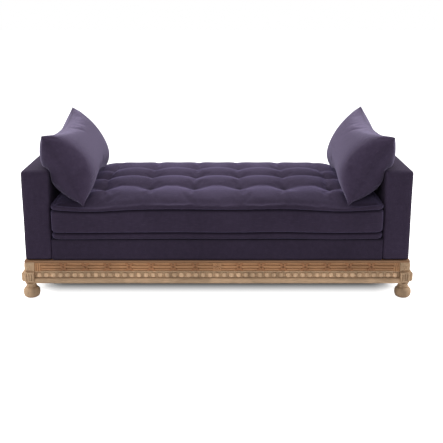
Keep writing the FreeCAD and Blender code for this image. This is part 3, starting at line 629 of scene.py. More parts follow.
def gridded_box(half, cells):
    """Closed box round the origin with each face divided into a grid."""
    bm = bmesh.new()
    bmesh.ops.create_cube(bm, size=2.0, matrix=Matrix.Diagonal((*half, 1.0)))
    for axis in range(3):
        along = [e for e in bm.edges if abs(e.verts[1].co[axis] - e.verts[0].co[axis]) > 1e-6]
        if cells[axis] > 1:
            bmesh.ops.subdivide_edges(bm, edges=along, cuts=cells[axis] - 1, use_grid_fill=True)
    return bm


def round_edges(bm, half, radius):
    """Rounds all edges of a gridded box."""
    for v in bm.verts:
        inner = Vector(max(-h + radius, min(h - radius, c)) for c, h in zip(v.co, half))
        out = v.co - inner
        if out.length > 1e-9:
            v.co = inner + out.normalized() * radius


def weave_by_face(bm):
    """Weave map in metres, laid flat on each face by the way it looks."""
    layer = bm.loops.layers.uv.new("weave")
    for face in bm.faces:
        n = face.normal
        axes = (0, 1) if abs(n.z) > max(abs(n.x), abs(n.y)) else ((1, 2) if abs(n.x) > abs(n.y) else (0, 2))
        for loop in face.loops:
            loop[layer].uv = (loop.vert.co[axes[0]], loop.vert.co[axes[1]])


def blow_up(cloth_piece, held, pressure, cap, give):
    """Cloth simulation of a stuffed piece: held points stay, others move by no more than cap."""
    mesh = cloth_piece.data
    start = points_of(mesh)
    group = cloth_piece.vertex_groups.new(name="held")
    group.add([int(i) for i in held], 1.0, "REPLACE")
    cloth = cloth_piece.modifiers.new("cloth", "CLOTH")
    settings = cloth.settings
    for key, value in CLOTH_SETTINGS.items():
        setattr(settings, key, value)
    settings.vertex_group_mass = "held"
    settings.uniform_pressure_force = pressure
    settings.effector_weights.gravity = 0.0
    settings.shrink_min = -give
    cloth.point_cache.frame_start = 1
    cloth.point_cache.frame_end = STUFFING_FRAMES
    for number in range(1, STUFFING_FRAMES + 1):
        scene.frame_set(number)
    shown = cloth_piece.evaluated_get(bpy.context.evaluated_depsgraph_get())
    moved = points_of(shown.data) - start
    cloth_piece.modifiers.remove(cloth)
    cloth_piece.vertex_groups.remove(group)
    scene.frame_set(1)
    length = np.linalg.norm(moved, axis=1, keepdims=True)
    put_points(mesh, start + moved * np.minimum(1.0, cap / np.maximum(length, 1e-9)))


def smooth_step(low, high, value):
    share = min(1.0, max(0.0, (value - low) / (high - low)))
    return share * share * (3.0 - 2.0 * share)


def bell(distance, spread):
    """1 at no distance, falling to almost 0 at twice the spread."""
    return math.exp(-((distance / spread) ** 2))


# Mattress


def puff_rise(x, y):
    """Height of the stuffed top over the roll: puffs between tufts, low ends under the pillows."""
    step_x = TUFT_X[1] - TUFT_X[0]
    step_y = TUFT_Y[1] - TUFT_Y[0]
    end = smooth_step(0.0, 1.0, (abs(x) - TUFT_X[-1]) / (MATTRESS_HALF.x - TUFT_X[-1]))
    wave = abs(math.sin(math.pi * (x - TUFT_X[0]) / step_x))
    between_columns = wave ** PUFF_ROUNDNESS
    crease = (1.0 - wave) ** 2
    if abs(x) > TUFT_X[-1]:
        between_columns = 0.0
        if end < END_PUFF_REACH:
            between_columns = END_PUFF * math.sin(math.pi * (END_PUFF_PITCH * end)) ** 2
        crease = 1.0 - between_columns
    valley = TUFT_RISE + (VALLEY_RISE - TUFT_RISE) * between_columns ** VALLEY_ROUNDNESS
    if abs(y) <= TUFT_Y[-1]:
        across = abs(math.sin(math.pi * (y - TUFT_Y[0]) / step_y)) ** PUFF_ROUNDNESS
        crest = CREST_RISE - CREST_DROP * (1.0 - between_columns)
        rise = valley + (crest - valley) * across
    else:
        share = (abs(y) - TUFT_Y[-1]) / (MATTRESS_HALF.y - TUFT_Y[-1])
        across = math.sin(math.pi * share ** EDGE_ARCH) if share < 1.0 else 0.0
        drop = BACK_CREST_DROP if y > 0 else CREST_DROP * (1.0 - smooth_step(*CREASE_FADE, share))
        crest = EDGE_CREST_RISE - drop * crease
        rise = valley * (1.0 - share) ** 2 + (crest - 0.5 * valley) * across
    slack = END_RISE * math.sin(math.pi * end) * (1.0 - (abs(y) / MATTRESS_HALF.y) ** 4)
    low_end = smooth_step(0.0, LOW_END, end)
    rise *= 1.0 - END_SLACK * (abs(x) / MATTRESS_HALF.x) ** 4
    return rise * (1.0 - low_end) + slack * low_end


def nearer_roll(height):
    """Distance of a height on the boxing to its nearer edge, and the height of the roll there."""
    if height < MATTRESS_HALF.z:
        return height, LOW_ROLL
    return 2 * MATTRESS_HALF.z - height, TOP_ROLL


def stitching(height):
    """1 in the row of stitches beside a roll, falling to 0 on both sides of it."""
    distance, roll = nearer_roll(height)
    return bell(distance - roll - GROOVE_GAP, GROOVE_WIDTH)


def boxing_offset(height):
    """How far the boxing stands out at a height: rolls at its edges, stitches beside them."""
    distance, roll = nearer_roll(height)
    share = 2.0 * distance / roll - 1.0
    depth = LOW_ROLL_DEPTH if height < LOW_ROLL / 2 else ROLL_DEPTH
    curve = depth * (1.0 - math.sqrt(1.0 - share * share)) if share < 1.0 else 0.0
    return -max(curve, GROOVE_DEPTH * stitching(height))


def boxing_belly(y, height):
    """How far the front and the back swell out between their rolls."""
    facing = smooth_step(MATTRESS_HALF.y - MATTRESS_CORNER, MATTRESS_HALF.y, abs(y))
    share = (height - MATTRESS_HALF.z) / (MATTRESS_HALF.z - LOW_ROLL)
    return BOXING_BELLY * facing * max(0.0, 1.0 - share * share)


def side_level(row):
    """Height of a row of points over the bottom: rows are close together on the rolls."""
    last = len(LOW_LEVELS) - 1
    return LOW_LEVELS[row] if row <= last else 2 * MATTRESS_HALF.z - TOP_LEVELS[2 * last - row]


def rounded_corner(x, y):
    """Moves a point of the square plan to the plan with rounded corners."""
    radius = MATTRESS_CORNER
    dx = abs(x) - (MATTRESS_HALF.x - radius)
    dy = abs(y) - (MATTRESS_HALF.y - radius)
    if dx <= 0 or dy <= 0:
        return x, y
    new_dx = dx * math.sqrt(1 - dy * dy / (2 * radius * radius))
    new_dy = dy * math.sqrt(1 - dx * dx / (2 * radius * radius))
    x = math.copysign(MATTRESS_HALF.x - radius + new_dx, x)
    y = math.copysign(MATTRESS_HALF.y - radius + new_dy, y)
    return x, y


def pushed_out(x, y, offset):
    """Moves a point of the boxing square to its side."""
    radius = MATTRESS_CORNER
    inner_x = max(radius - MATTRESS_HALF.x, min(MATTRESS_HALF.x - radius, x))
    inner_y = max(radius - MATTRESS_HALF.y, min(MATTRESS_HALF.y - radius, y))
    inner = Vector((inner_x, inner_y))
    out = Vector((x, y)) - inner
    return inner + out.normalized() * (out.length + offset)


def boxing_point(x, y, height):
    """A point of the boxing, rolled, stitched and a little uneven."""
    drift = noise.noise((x * SIDE_DRIFT_SCALE, y * SIDE_DRIFT_SCALE, SIDE_DRIFT_SEED)) * SIDE_DRIFT
    x, y = pushed_out(x, y, boxing_offset(height) + (drift + boxing_belly(y, height)))
    place = (x * LEVEL_DRIFT_SCALE, y * LEVEL_DRIFT_SCALE, height * LEVEL_DRIFT_RISE)
    return x, y, height + noise.noise(place) * LEVEL_DRIFT


def front_sag(x, y, height):
    """How far the top roll sags at the front beside the pillows."""
    near_front = smooth_step(*SAG_FRONT, -y) * (height / (2 * MATTRESS_HALF.z)) ** 3
    return ROLL_SAG[1 if x > 0 else -1] * bell(abs(x) - SAG_PLACE, SAG_SPREAD) * near_front


def ear_reach(x, y):
    """How far the mattress swells out in front of an arm."""
    half = MATTRESS_HALF
    in_front = smooth_step(ARM_FRONT + EAR_GAP, half.y - EAR_EDGE, abs(y))
    return EAR_REACH * (in_front * smooth_step(half.x - EAR_WIDTH, half.x, abs(x)))


def mattress_blank():
    """The mattress before stuffing: rounded corners, rolls round both edges and puffs on top."""
    half = MATTRESS_HALF
    rows = 2 * (len(LOW_LEVELS) - 1)
    bm = gridded_box(half, (*MATTRESS_CELLS, rows))
    bm.normal_update()
    weave_by_face(bm)
    shade = bm.verts.layers.float.new("seam_shade")
    for v in bm.verts:
        x, y, z = v.co
        on_side = abs(abs(x) - half.x) < NEAR or abs(abs(y) - half.y) < NEAR
        on_top = z > half.z - NEAR
        height = side_level(round((z + half.z) / (2 * half.z) * rows))
        x, y = rounded_corner(x, y)
        if on_side:
            # Painted shade in the stitched groove beside each roll and a painted contact shadow along the
            # bottom
            v[shade] = max(STITCH_SHADE * stitching(height), CONTACT_SHADE * bell(height, MATTRESS_CONTACT))
            x, y, height = boxing_point(x, y, height)
        else:
            x *= 1.0 - ROLL_DEPTH / half.x
            y *= 1.0 - ROLL_DEPTH / half.y
            if on_top:
                from_edge = min(half.x - abs(x), half.y - abs(y)) - ROLL_DEPTH
                height += puff_rise(x, y) - ROLL_DIP * bell(from_edge - DIP_PLACE, DIP_SPREAD)
            from_tuft = min(math.hypot(x - tuft_x, y - tuft_y) for tuft_x, tuft_y in TUFTS)
            # Painted shade in the crease round each tuft
            v[shade] = TUFT_SHADE * bell(from_tuft, TUFT_SPREAD)
        height -= front_sag(x, y, height)
        x += math.copysign(ear_reach(x, y), x)
        v.co = (x, y, height + MATTRESS_LOW)
    return bm


def stuff_top(mattress):
    """Simulates the top panel alone: it is held at its edge and at each tuft."""
    whole = mattress.data
    points = points_of(whole)
    bm = bmesh.new()
    bm.from_mesh(whole)
    bm.verts.ensure_lookup_table()
    index = bm.verts.layers.int.new("whole_index")
    for v in bm.verts:
        v[index] = v.index
    lowest = MATTRESS_TOP - PANEL_DROP
    below = [f for f in bm.faces if f.normal.z < 0.5 or f.calc_center_median().z < lowest]
    bmesh.ops.delete(bm, geom=below, context="FACES")
    source = np.array([v[index] for v in bm.verts])
    held = {v.index for v in bm.verts if v.is_boundary}
    mesh = new_mesh("top_panel", bm)
    panel = new_object("top_panel", mesh)
    top = points_of(mesh)
    for tuft_x, tuft_y in TUFTS:
        distance = np.hypot(top[:, 0] - tuft_x, top[:, 1] - tuft_y)
        held.update(int(i) for i in np.flatnonzero(distance < TUFT_HOLD))
    blow_up(panel, sorted(held), *TOP_STUFFING)
    points[source] = points_of(mesh)
    put_points(whole, points)
    bpy.data.objects.remove(panel)
    bpy.data.meshes.remove(mesh)


def make_mattress(materials):
    mattress = piece("mattress_linen", mattress_blank(), materials["aubergine_linen"], "mattress")
    stuff_top(mattress)
    refine(mattress)
    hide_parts("mattress", "mattress_core")
    return mattress


def make_tufts(materials, mattress):
    """A short stitch of twine in the bottom of each tuft."""
    shown = BVHTree.FromObject(mattress, bpy.context.evaluated_depsgraph_get())
    half = Vector((STITCH_HALF, 0, 0))
    bm = bmesh.new()
    for x, y in TUFTS:
        low = shown.ray_cast(Vector((x, y, OVERHEAD)), Vector((0, 0, -1)))[0] + Vector((0, 0, STITCH_LIFT))
        add_rod(bm, low - half, low + half, STITCH_RADIUS, 8)
    stitches = piece("tuft_stitches", bm, materials["stitching_twine"], "mattress")


# Pillows


def pillow_profile(share, above, below):
    """Thickness across the height of a pillow, 1 at its fullest: the higher power is the slacker edge."""
    fullest = (below - above) / (below + above)
    whole = (1.0 - fullest) ** above * (1.0 + fullest) ** below
    return (1.0 - share) ** above * (1.0 + share) ** below / whole


def pillow_blank():
    """Two pieces of cloth sewn together at their edges: full ends, drawn-in sides and pointed corners."""
    half = Vector((PILLOW_LENGTH / 2, PILLOW_HEIGHT / 2, 0.01))
    bm = gridded_box(half, PILLOW_CELLS)
    layer = bm.loops.layers.uv.new("weave")
    for face in bm.faces:
        for loop in face.loops:
            loop[layer].uv = (loop.vert.co.x, loop.vert.co.y)
    shade = bm.verts.layers.float.new("seam_shade")
    for v in bm.verts:
        even = max(-1.0, min(1.0, v.co.x / half.x))
        along = (even + math.sin(even * math.pi / 2)) / 2
        up = max(-1.0, min(1.0, v.co.y / half.y))
        fall, root = NEAR_END if along > 0 else FAR_END
        full = max(0.0, 1.0 - abs(along) ** fall) ** root * (1.0 + PILLOW_UNEVEN * along)
        front = PILLOW_FRONT * pillow_profile(up, *PILLOW_FRONT_PROFILE)
        back = PILLOW_BACK * pillow_profile(up, *PILLOW_BACK_PROFILE)
        # Painted shade along the seams: dark on the long edges, lighter at the ends
        if abs(up) > SEAM_FROM:
            v[shade] = LONG_SEAM_SHADE
        elif abs(along) > SEAM_FROM:
            v[shade] = SHORT_SEAM_SHADE
        x = half.x * along - PILLOW_DRAW_SHORT * (1.0 - up * up) * along ** 3
        y = v.co.y - PILLOW_DRAW_LONG * (1.0 - along * along) * up ** 3
        v.co = (x, y, full * front if v.co.z > 0 else -full * back)
    bmesh.ops.remove_doubles(bm, verts=bm.verts, dist=NEAR)
    loose = [f for f in bm.faces if f.calc_area() < 1e-9]
    bmesh.ops.delete(bm, geom=loose, context="FACES_ONLY")
    return bm


def pillow_corners(mesh):
    """Points at the four corners of a pillow that lies flat."""
    reach = np.abs(points_of(mesh)[:, :2]).sum(1)
    return np.flatnonzero(reach > reach.max() - PILLOW_CORNER)


def pillow_axes(side):
    """Stands the pillow up on its long edge and leans it on an arm: side is 1 for right, -1 for left."""
    turn = Matrix.Identity(3)
    for angles in ((0, 0, PILLOW_ROLL), (90, 0, 0), (0, 0, -90), (0, PILLOW_LEAN, 0), (0, 0, PILLOW_TURN)):
        turn = Euler([math.radians(angle) for angle in angles]).to_matrix() @ turn
    return np.diag((float(side), 1.0, 1.0)) @ np.array(turn)


def lean(points, side, node):
    """Puts a pillow in the place of its node: the corners of their seams meet."""
    axes = pillow_axes(side)
    twist = np.radians(PILLOW_TWIST[side]) * points[:, 0] / (PILLOW_LENGTH / 2)
    up, out = points[:, 1].copy(), points[:, 2].copy()
    points[:, 1] = up * np.cos(twist) + out * np.sin(twist)
    points[:, 2] = out * np.cos(twist) - up * np.sin(twist)
    solid = points_of(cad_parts[node].data) @ axes
    middle = (solid.min(0) + solid.max(0)) / 2
    corner = np.abs(solid - middle)[:, :2].sum(1).argmax()
    middle[2] = solid[corner, 2]
    return (points + middle) @ axes.T - np.array((0.0, 0.0, PILLOW_SINK))


def keep_clear(points, mattress, side):
    """Presses the cloth flat where it lies on the mattress and against the arm."""
    shown = BVHTree.FromObject(mattress, bpy.context.evaluated_depsgraph_get())
    arm_top = ARM_TOP + PILLOW_CLEARANCE + ARM_TOP_CROWN
    for p in points:
        hit = shown.ray_cast(Vector((p[0], p[1], OVERHEAD)), Vector((0, 0, -1)))[0]
        if hit is not None and p[2] < hit.z + PILLOW_CLEARANCE:
            p[2] = hit.z + PILLOW_CLEARANCE
        over = side * p[0] - (ARM_INNER - PILLOW_CLEARANCE)
        under = arm_top - p[2]
        if over > 0 and under > 0:
            if over < under:
                p[0] -= side * over
            else:
                p[2] += under
    return points


def press_in(mesh, points, mattress, side):
    """Presses a pillow against the mattress and the arm, with rounded dents."""
    pressed = keep_clear(points.copy(), mattress, side)
    dented = np.flatnonzero(np.linalg.norm(pressed - points, axis=1) > DENT_LEAST)
    put_points(mesh, pressed)
    bm = bmesh.new()
    bm.from_mesh(mesh)
    bm.verts.ensure_lookup_table()
    shade = bm.verts.layers.float["seam_shade"]
    near = {int(i) for i in dented}
    for _ in range(DENT_RINGS):
        near |= {edge.other_vert(bm.verts[i]).index for i in sorted(near) for edge in bm.verts[i].link_edges}
    soft = [bm.verts[i] for i in sorted(near) if bm.verts[i][shade] < DENT_SEAM]
    for _ in range(DENT_ROUNDS):
        bmesh.ops.smooth_vert(bm, verts=soft, factor=0.5, use_axis_x=True, use_axis_y=True, use_axis_z=True)
    bm.to_mesh(mesh)
    bm.free()
    put_points(mesh, keep_clear(points_of(mesh), mattress, side))


def make_pillow(name, side, materials, mattress):
    pillow = piece(f"{name}_pillow_linen", pillow_blank(), materials["pillow_linen"], f"{name}_pillow")
    mesh = pillow.data
    blow_up(pillow, pillow_corners(mesh), *PILLOW_STUFFING)
    press_in(mesh, lean(points_of(mesh), side, f"{name}_pillow_cover"), mattress, side)
    if side < 0:
        mesh.flip_normals()
    refine(pillow)
    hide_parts(f"{name}_pillow_cover", f"{name}_pillow_insert")


# Arms, borders and deck


def cut_plane(bm, place, normal, clear_outer=False):
    geometry = bm.verts[:] + bm.edges[:] + bm.faces[:]
    bmesh.ops.bisect_plane(
        bm, geom=geometry, dist=1e-6, plane_co=place, plane_no=normal, clear_outer=clear_outer,
    )


def sew_seam(bm, along, place):
    """A sewn seam round a padded box: a narrow groove in the plane at a place along one axis."""
    normal = Vector(1.0 if i == along else 0.0 for i in range(3))
    for shift in (-SEAM_WIDTH, 0.0, SEAM_WIDTH):
        cut_plane(bm, normal * (place + shift), normal)
    bm.normal_update()
    for v in bm.verts:
        if abs(v.co[along] - place) < NEAR:
            inward = v.normal.copy()
            inward[along] = 0.0
            v.co -= inward.normalized() * SEAM_DEPTH


def shade_ends(bm, half_height, on_top):
    """Painted contact shade: darkens the cloth where it turns under at the bottom, and also at the top if
    asked.
    """
    shade = bm.verts.layers.float.new("seam_shade")
    for v in bm.verts:
        from_end = v.co.z + half_height
        if on_top:
            from_end = min(from_end, half_height - v.co.z)
        v[shade] = CONTACT_SHADE * bell(from_end, PADDING_CONTACT)


def place_padding(bm, middle):
    bmesh.ops.translate(bm, verts=bm.verts, vec=middle)
    bm.normal_update()
    weave_by_face(bm)


def tight_padding(name, bm, material, node):
    """A tight upholstered piece of the frame in the place of its node."""
    made = piece(name, bm, material, "frame")
    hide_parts(node)


def make_arm(name, side, materials):
    low = Vector((ARM_INNER, -ARM_FRONT, ARM_LOW))
    high = Vector((ARM_OUTER, ARM_FRONT, ARM_TOP))
    half = (high - low) / 2
    bm = gridded_box(half, ARM_CELLS)
    round_edges(bm, half, ARM_ROUNDING)
    shade_ends(bm, half.z, False)
    wave_place = Vector((3, 1, 7 * side))
    for v in bm.verts:
        share = [1.0 - min(1.0, abs(c / h)) ** 2 for c, h in zip(v.co, half)]
        if v.co.x > half.x - FACE_DEPTH:
            v.co.x += ARM_SIDE_CROWN * (share[1] * share[2]) ** 0.5
        if v.co.z > half.z - FACE_DEPTH:
            v.co.z += ARM_TOP_CROWN * (share[0] * share[1]) ** 0.5
        if abs(v.co.y) > half.y - FACE_DEPTH:
            v.co.y += math.copysign(ARM_FRONT_CROWN * (share[0] * share[2]) ** 0.5, v.co.y)
        v.co += Vector((noise.noise(v.co * ARM_WAVE_SCALE + wave_place), 0, 0)) * ARM_WAVE
    for sy in (-1, 1):
        sew_seam(bm, 1, sy * (half.y - SEAM_INSET))
    place_padding(bm, (low + high) / 2)
    if side < 0:
        bmesh.ops.scale(bm, vec=(-1, 1, 1), verts=bm.verts)
        bmesh.ops.reverse_faces(bm, faces=bm.faces)
    tight_padding(f"{name}_arm_linen", bm, materials["arm_linen"], f"{name}_arm_cover")


def make_border(name, side, materials):
    low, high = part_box(f"border_{name}")
    half = (high - low) / 2
    bm = gridded_box(half, BORDER_CELLS)
    round_edges(bm, half, PANEL_ROUNDING)
    shade_ends(bm, half.z, True)
    along, up = BORDER_WAVE_SCALE
    for v in bm.verts:
        if v.co.y * side > 0:
            v.co.y += side * noise.noise((v.co.x * along, 0.0, v.co.z * up)) * BORDER_WAVE
    place_padding(bm, (low + high) / 2)
    tight_padding(f"{name}_border_linen", bm, materials["border_linen"], f"border_{name}")


def make_deck(materials):
    low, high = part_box("deck_pad")
    half = (high - low) / 2
    bm = gridded_box(half, DECK_CELLS)
    round_edges(bm, half, PANEL_ROUNDING)
    place_padding(bm, (low + high) / 2)
    tight_padding("deck_cloth", bm, materials["decking_cloth"], "deck_pad")


def make_dust_cloth(materials):
    low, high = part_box("dust_cover")
    half_x, half_y = high.x, high.y
    bm = bmesh.new()
    cells_x, cells_y = DUST_CELLS
    size = Matrix.Diagonal((half_x, half_y, 1, 1))
    bmesh.ops.create_grid(bm, x_segments=cells_x, y_segments=cells_y, size=1.0, matrix=size)
    for sx in (-1, 1):
        for sy in (-1, 1):
            place = Vector((sx * (half_x - DUST_CORNER / 2), sy * (half_y - DUST_CORNER / 2), 0))
            cut_plane(bm, place, Vector((sx, sy, 0)), clear_outer=True)
    for v in bm.verts:
        sag = max(0.0, 1 - (v.co.x / half_x) ** 4) * max(0.0, 1 - (v.co.y / half_y) ** 4)
        v.co.z = low.z + DUST_LIFT - DUST_SAG * sag
    bmesh.ops.recalc_face_normals(bm, faces=bm.faces)
    cloth = piece("dust_cloth", bm, materials["black_dust_cloth"], "frame")
    thick = cloth.modifiers.new("thick", "SOLIDIFY")
    thick.thickness = DUST_THICKNESS
    thick.offset = 0.0
    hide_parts("dust_cover")


# Carving


def side_length(side):
    return 2 * ((HALF_LENGTH if side in LONG_SIDES else HALF_DEPTH) - POST_SIDE)


def turn_to_side(bm, side):
    reach = HALF_DEPTH if side in LONG_SIDES else HALF_LENGTH
    turn = Matrix.Rotation(math.radians(SIDES[side]), 3, "Z")
    bmesh.ops.translate(bm, verts=bm.verts, vec=(0, -reach, 0))
    bmesh.ops.rotate(bm, verts=bm.verts, cent=(0, 0, 0), matrix=turn)


def add_rod(bm, start, end, radius, segments):
    """Round rod between two points."""
    axis = end - start
    turn = axis.to_track_quat("Z", "Y").to_matrix().to_4x4()
    place = Matrix.Translation((start + end) / 2) @ turn
    bmesh.ops.create_cone(
        bm, cap_ends=True, segments=segments, radius1=radius, radius2=radius, depth=axis.length,
        matrix=place,
    )


def add_block(bm, low, high):
    low, high = Vector(low), Vector(high)
    place = Matrix.Translation((low + high) / 2) @ Matrix.Diagonal((*(high - low), 1.0))
    bmesh.ops.create_cube(bm, size=1.0, matrix=place)


def add_ball(bm, centre, scale, rings):
    place = Matrix.Translation(centre) @ Matrix.Diagonal((*scale, 1.0))
    bmesh.ops.create_uvsphere(bm, u_segments=2 * rings, v_segments=rings, radius=1.0, matrix=place)


def add_flower(bm, centre, count, distance, petal, heart):
    """Ring of petals round a heart, facing the front."""
    for n in range(count):
        turn = Matrix.Rotation(-2 * math.pi * n / count, 3, "Y")
        before = set(bm.verts)
        add_ball(bm, Vector((distance, 0, 0)), petal, 6)
        added = [v for v in bm.verts if v not in before]
        bmesh.ops.rotate(bm, verts=added, cent=(0, 0, 0), matrix=turn)
        bmesh.ops.translate(bm, verts=added, vec=centre)
    add_ball(bm, centre, heart, 6)


def reed_front(z):
    """Front of the reed bundle at a height, as a place along Y."""
    share = (z - FRIEZE_MIDDLE) / ((FRIEZE_HIGH - FRIEZE_LOW) / 2)
    return CARVING_RECESS - REED_REACH * math.sqrt(max(0.0, 1 - REED_CURVE * share * share))


def add_ribbon(bm, x, slant):
    """Ribbon laid aslant over the reeds, in the second material."""
    before = set(bm.verts)
    bmesh.ops.create_grid(bm, x_segments=1, y_segments=RIBBON_CELLS, size=0.5)
    added = [v for v in bm.verts if v not in before]
    low, high = FRIEZE_LOW + RIBBON_INSET, FRIEZE_HIGH - RIBBON_INSET
    for v in added:
        share = v.co.y + 0.5
        z = low + share * (high - low)
        v.co = (x + v.co.x * RIBBON_WIDTH + slant * (share - 0.5), reed_front(z) - RIBBON_LIFT, z)
    faces = list({f for v in added for f in v.link_faces})
    bmesh.ops.recalc_face_normals(bm, faces=faces)
    others = set(bm.faces) - set(faces)
    bmesh.ops.solidify(bm, geom=faces, thickness=RIBBON_THICKNESS)
    for face in set(bm.faces) - others:
        face.material_index = 1


def add_reeds(bm, length):
    """Bundle of reeds, the middle one in front, bound by crossed ribbons."""
    pitch = (FRIEZE_HIGH - FRIEZE_LOW) / REED_COUNT
    radius = pitch / 2 - REED_GAP
    for n in range(REED_COUNT):
        z = FRIEZE_LOW + (n + 0.5) * pitch
        setback = 0.0 if n == REED_COUNT // 2 else REED_SETBACK
        y = CARVING_RECESS - REED_REACH + radius + setback
        add_rod(bm, Vector((-length / 2, y, z)), Vector((length / 2, y, z)), radius, 14)
    crossings = int(length / 2 / RIBBON_STEP - RIBBON_END)
    for n in range(-crossings, crossings + 1):
        if n != 0:
            add_ribbon(bm, n * RIBBON_STEP, -RIBBON_SLANT)
            add_ribbon(bm, n * RIBBON_STEP, RIBBON_SLANT)


def add_rosette(bm):
    """Square block with a flower in the middle of the frieze."""
    centre = Vector((0, CARVING_RECESS - ROSETTE_REACH, FRIEZE_MIDDLE))
    half = Vector((ROSETTE_HALF, 0.0, ROSETTE_HALF))
    add_block(bm, centre - half, centre + half + Vector((0.0, ROSETTE_DEPTH, 0.0)))
    add_flower(bm, centre, *ROSETTE_FLOWER)


def add_stop(bm, x):
    """Upright flutes that end the frieze beside a corner post."""
    back = CARVING_RECESS
    front = back - STOP_REACH
    add_block(bm, (x - STOP_WIDTH / 2, front, FRIEZE_LOW), (x + STOP_WIDTH / 2, back, FRIEZE_HIGH))
    for n in range(STOP_FLUTES):
        at = x + (n - (STOP_FLUTES - 1) / 2) * STOP_WIDTH / STOP_FLUTES
        low = Vector((at, front, FRIEZE_LOW + FLUTE_INSET))
        high = Vector((at, front, FRIEZE_HIGH - FLUTE_INSET))
        add_rod(bm, low, high, STOP_WIDTH / (2 * STOP_FLUTES) - FLUTE_GAP, 12)


def carved(name, bm, finishes, node, sharp):
    """A carved piece of the plinth in the place of its node, with edges sharp from an angle in degrees."""
    made = piece(name, bm, finishes[0], "frame")
    for finish in finishes[1:]:
        made.data.materials.append(finish)
    made.data.set_sharp_from_angle(angle=math.radians(sharp))
    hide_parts(node)


def make_frieze(side, materials):
    length = side_length(side) - CARVING_PLAY
    back = CARVING_RECESS
    bm = bmesh.new()
    add_block(bm, (-length / 2, back - CARVING_GROUND, FRIEZE_LOW), (length / 2, back, FRIEZE_HIGH))
    add_reeds(bm, length - 2 * STOP_WIDTH)
    add_rosette(bm)
    for end in (-1, 1):
        add_stop(bm, end * (length - STOP_WIDTH) / 2)
    turn_to_side(bm, side)
    grain = "along" if side in LONG_SIDES else "across"
    finishes = [materials[f"{kind}_wood_{grain}"] for kind in ("carved", "ribbon")]
    carved(f"{side}_reed_carving", bm, finishes, f"{side}_reed_frieze", FRIEZE_SHARP)


def make_pearls(side, materials):
    length = side_length(side) - CARVING_PLAY
    half = PEARL_STRIP / 2
    back = CARVING_RECESS
    front = back - CARVING_GROUND
    bm = bmesh.new()
    add_block(bm, (-length / 2, front, PEARL_Z - half), (length / 2, back, PEARL_Z + half))
    for face in bm.faces:
        face.material_index = 1
    count = int((length - 2 * PEARL_RADIUS) // PEARL_STEP) + 1
    for n in range(count):
        x = (n - (count - 1) / 2) * PEARL_STEP
        add_ball(bm, Vector((x, front, PEARL_Z)), (PEARL_RADIUS, PEARL_REACH, PEARL_RADIUS), 7)
        if n < count - 1:
            add_ball(bm, Vector((x + PEARL_STEP / 2, front, PEARL_Z)), SPACER, 5)
    turn_to_side(bm, side)
    # Pearls in the lighter wood as painted highlight, the ground between them in the darker post wood as
    # painted shade
    finishes = [materials["pearl_wood"], materials["limed_wood_upright"]]
    carved(f"{side}_pearls", bm, finishes, f"{side}_bead_strip", ROUND_SHARP)


def make_corner_flowers(side, materials):
    """Small flowers on the panels at both ends of a side."""
    bm = bmesh.new()
    reach = side_length(side) / 2 + POST_SIDE / 2
    for x in (-reach, reach):
        add_flower(bm, Vector((x, -PANEL_REACH, FRIEZE_MIDDLE)), *CORNER_FLOWER)
    turn_to_side(bm, side)
    flowers = piece(f"{side}_corner_flowers", bm, materials["limed_wood_upright"], "frame")


def make_feet(materials):
    """Turned feet with a ring and a hollow over the bun."""
    bm = bmesh.new()
    for sx in (-1, 1):
        for sy in (-1, 1):
            axis = Vector((sx * FOOT_PLACE[0], sy * FOOT_PLACE[1], 0))
            line = [bm.verts.new(axis + Vector((radius, 0, z))) for radius, z in FOOT_OUTLINE]
            edges = [bm.edges.new(pair) for pair in zip(line, line[1:])]
            bmesh.ops.spin(
                bm, geom=line + edges, cent=axis, axis=(0, 0, 1), angle=2 * math.pi, steps=FOOT_STEPS,
                use_merge=True,
            )
    bmesh.ops.remove_doubles(bm, verts=bm.verts, dist=1e-6)
    bmesh.ops.recalc_face_normals(bm, faces=bm.faces)
    carved("turned_feet", bm, [materials["foot_wood"]], "bun_feet", ROUND_SHARP)


def dress_frame(materials):
    """Finishes of the pieces that keep their own shape."""
    finishes = {"foot_glides": "glide_plastic", "joining_plates": "plate_steel"}
    for side in SIDES:
        finishes[f"{side}_base_rail"] = "limed_wood_along" if side in LONG_SIDES else "limed_wood_across"
    for name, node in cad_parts.items():
        if name.startswith("corner_"):
            finish = "limed_wood_upright"
        elif name.startswith("webbing"):
            finish = "jute_webbing"
        else:
            finish = finishes.get(name, "frame_hardwood")
        node.data.materials.clear()
        node.data.materials.append(materials[finish])


# Floor, light and camera


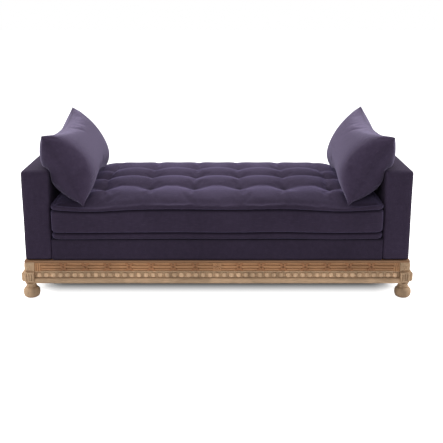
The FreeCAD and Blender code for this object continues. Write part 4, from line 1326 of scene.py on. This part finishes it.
def make_floor():
    """White floor that keeps only the shadow under the daybed."""
    bm = bmesh.new()
    bmesh.ops.create_grid(bm, x_segments=1, y_segments=1, size=FLOOR_HALF)
    floor = new_object("floor", new_mesh("floor", bm))
    material, shader, start = new_material("white_floor")
    shader.inputs["Base Color"].default_value = rgba(FLOOR_GREY, FLOOR_GREY, FLOOR_GREY)
    shader.inputs["Roughness"].default_value = 0.9
    shader.inputs["Specular IOR Level"].default_value = 0.0
    across, along, _ = start.node("ShaderNodeTexCoord", output="Object").axes()
    away = abs(across).between(*WHITE_ASIDE).larger(abs(along).between(*WHITE_AHEAD))
    glow = start.node("ShaderNodeEmission", None, {"Strength": 1.0})
    nothing = start.node("ShaderNodeEmission", None, {"Strength": 0.0})
    lift = start.node("ShaderNodeMixShader", None, {0: away * seen_ray(start), 1: nothing, 2: glow})
    whole = start.node("ShaderNodeAddShader", None, {0: Wire(start.tree, shader.outputs[0]), 1: lift})
    start.tree.links.new(whole.socket, start.tree.nodes["Material Output"].inputs["Surface"])
    floor.data.materials.append(material)


def make_light():
    world = bpy.data.worlds.new("studio")
    world.use_nodes = True
    scene.world = world
    tree = world.node_tree
    start = Wire(tree, None)
    white = rgba(1, 1, 1)
    dim = start.node("ShaderNodeBackground", None, {"Color": white, "Strength": WORLD_STRENGTH})
    bright = start.node("ShaderNodeBackground", None, {"Color": white, "Strength": 1.0})
    mixed = start.node("ShaderNodeMixShader", None, {0: seen_ray(start), 1: dim, 2: bright})
    tree.links.new(mixed.socket, tree.nodes["World Output"].inputs["Surface"])
    for name, panel in PANELS.items():
        add_panel(name, *panel)


def add_panel(name, place, target, width, height, power):
    lamp = bpy.data.lights.new(name, "AREA")
    lamp.shape = "RECTANGLE"
    lamp.size = width
    lamp.size_y = height
    lamp.energy = power
    made = new_object(name, lamp)
    made.location = place
    made.rotation_euler = (Vector(target) - Vector(place)).to_track_quat("-Z", "Y").to_euler()


def make_camera():
    data = bpy.data.cameras.new("camera")
    data.sensor_width = CAMERA_SENSOR
    data.lens = CAMERA_LENS
    data.shift_y = CAMERA_SHIFT
    camera = new_object("camera", data)
    camera.location = CAMERA_PLACE
    camera.rotation_euler = (math.radians(CAMERA_TILT), 0, 0)
    scene.camera = camera


materials = make_materials()
dress_frame(materials)
mattress = make_mattress(materials)
make_tufts(materials, mattress)
hands = {"left": -1, "right": 1}
for hand, hand_side in hands.items():
    make_pillow(hand, hand_side, materials, mattress)
for hand, hand_side in hands.items():
    make_arm(hand, hand_side, materials)
for border_name, border_side in (("front", -1), ("back", 1)):
    make_border(border_name, border_side, materials)
make_deck(materials)
make_dust_cloth(materials)
for side_name in SIDES:
    make_frieze(side_name, materials)
    make_pearls(side_name, materials)
    make_corner_flowers(side_name, materials)
make_feet(materials)
make_floor()
make_light()
make_camera()
scene.view_settings.view_transform = "Standard"
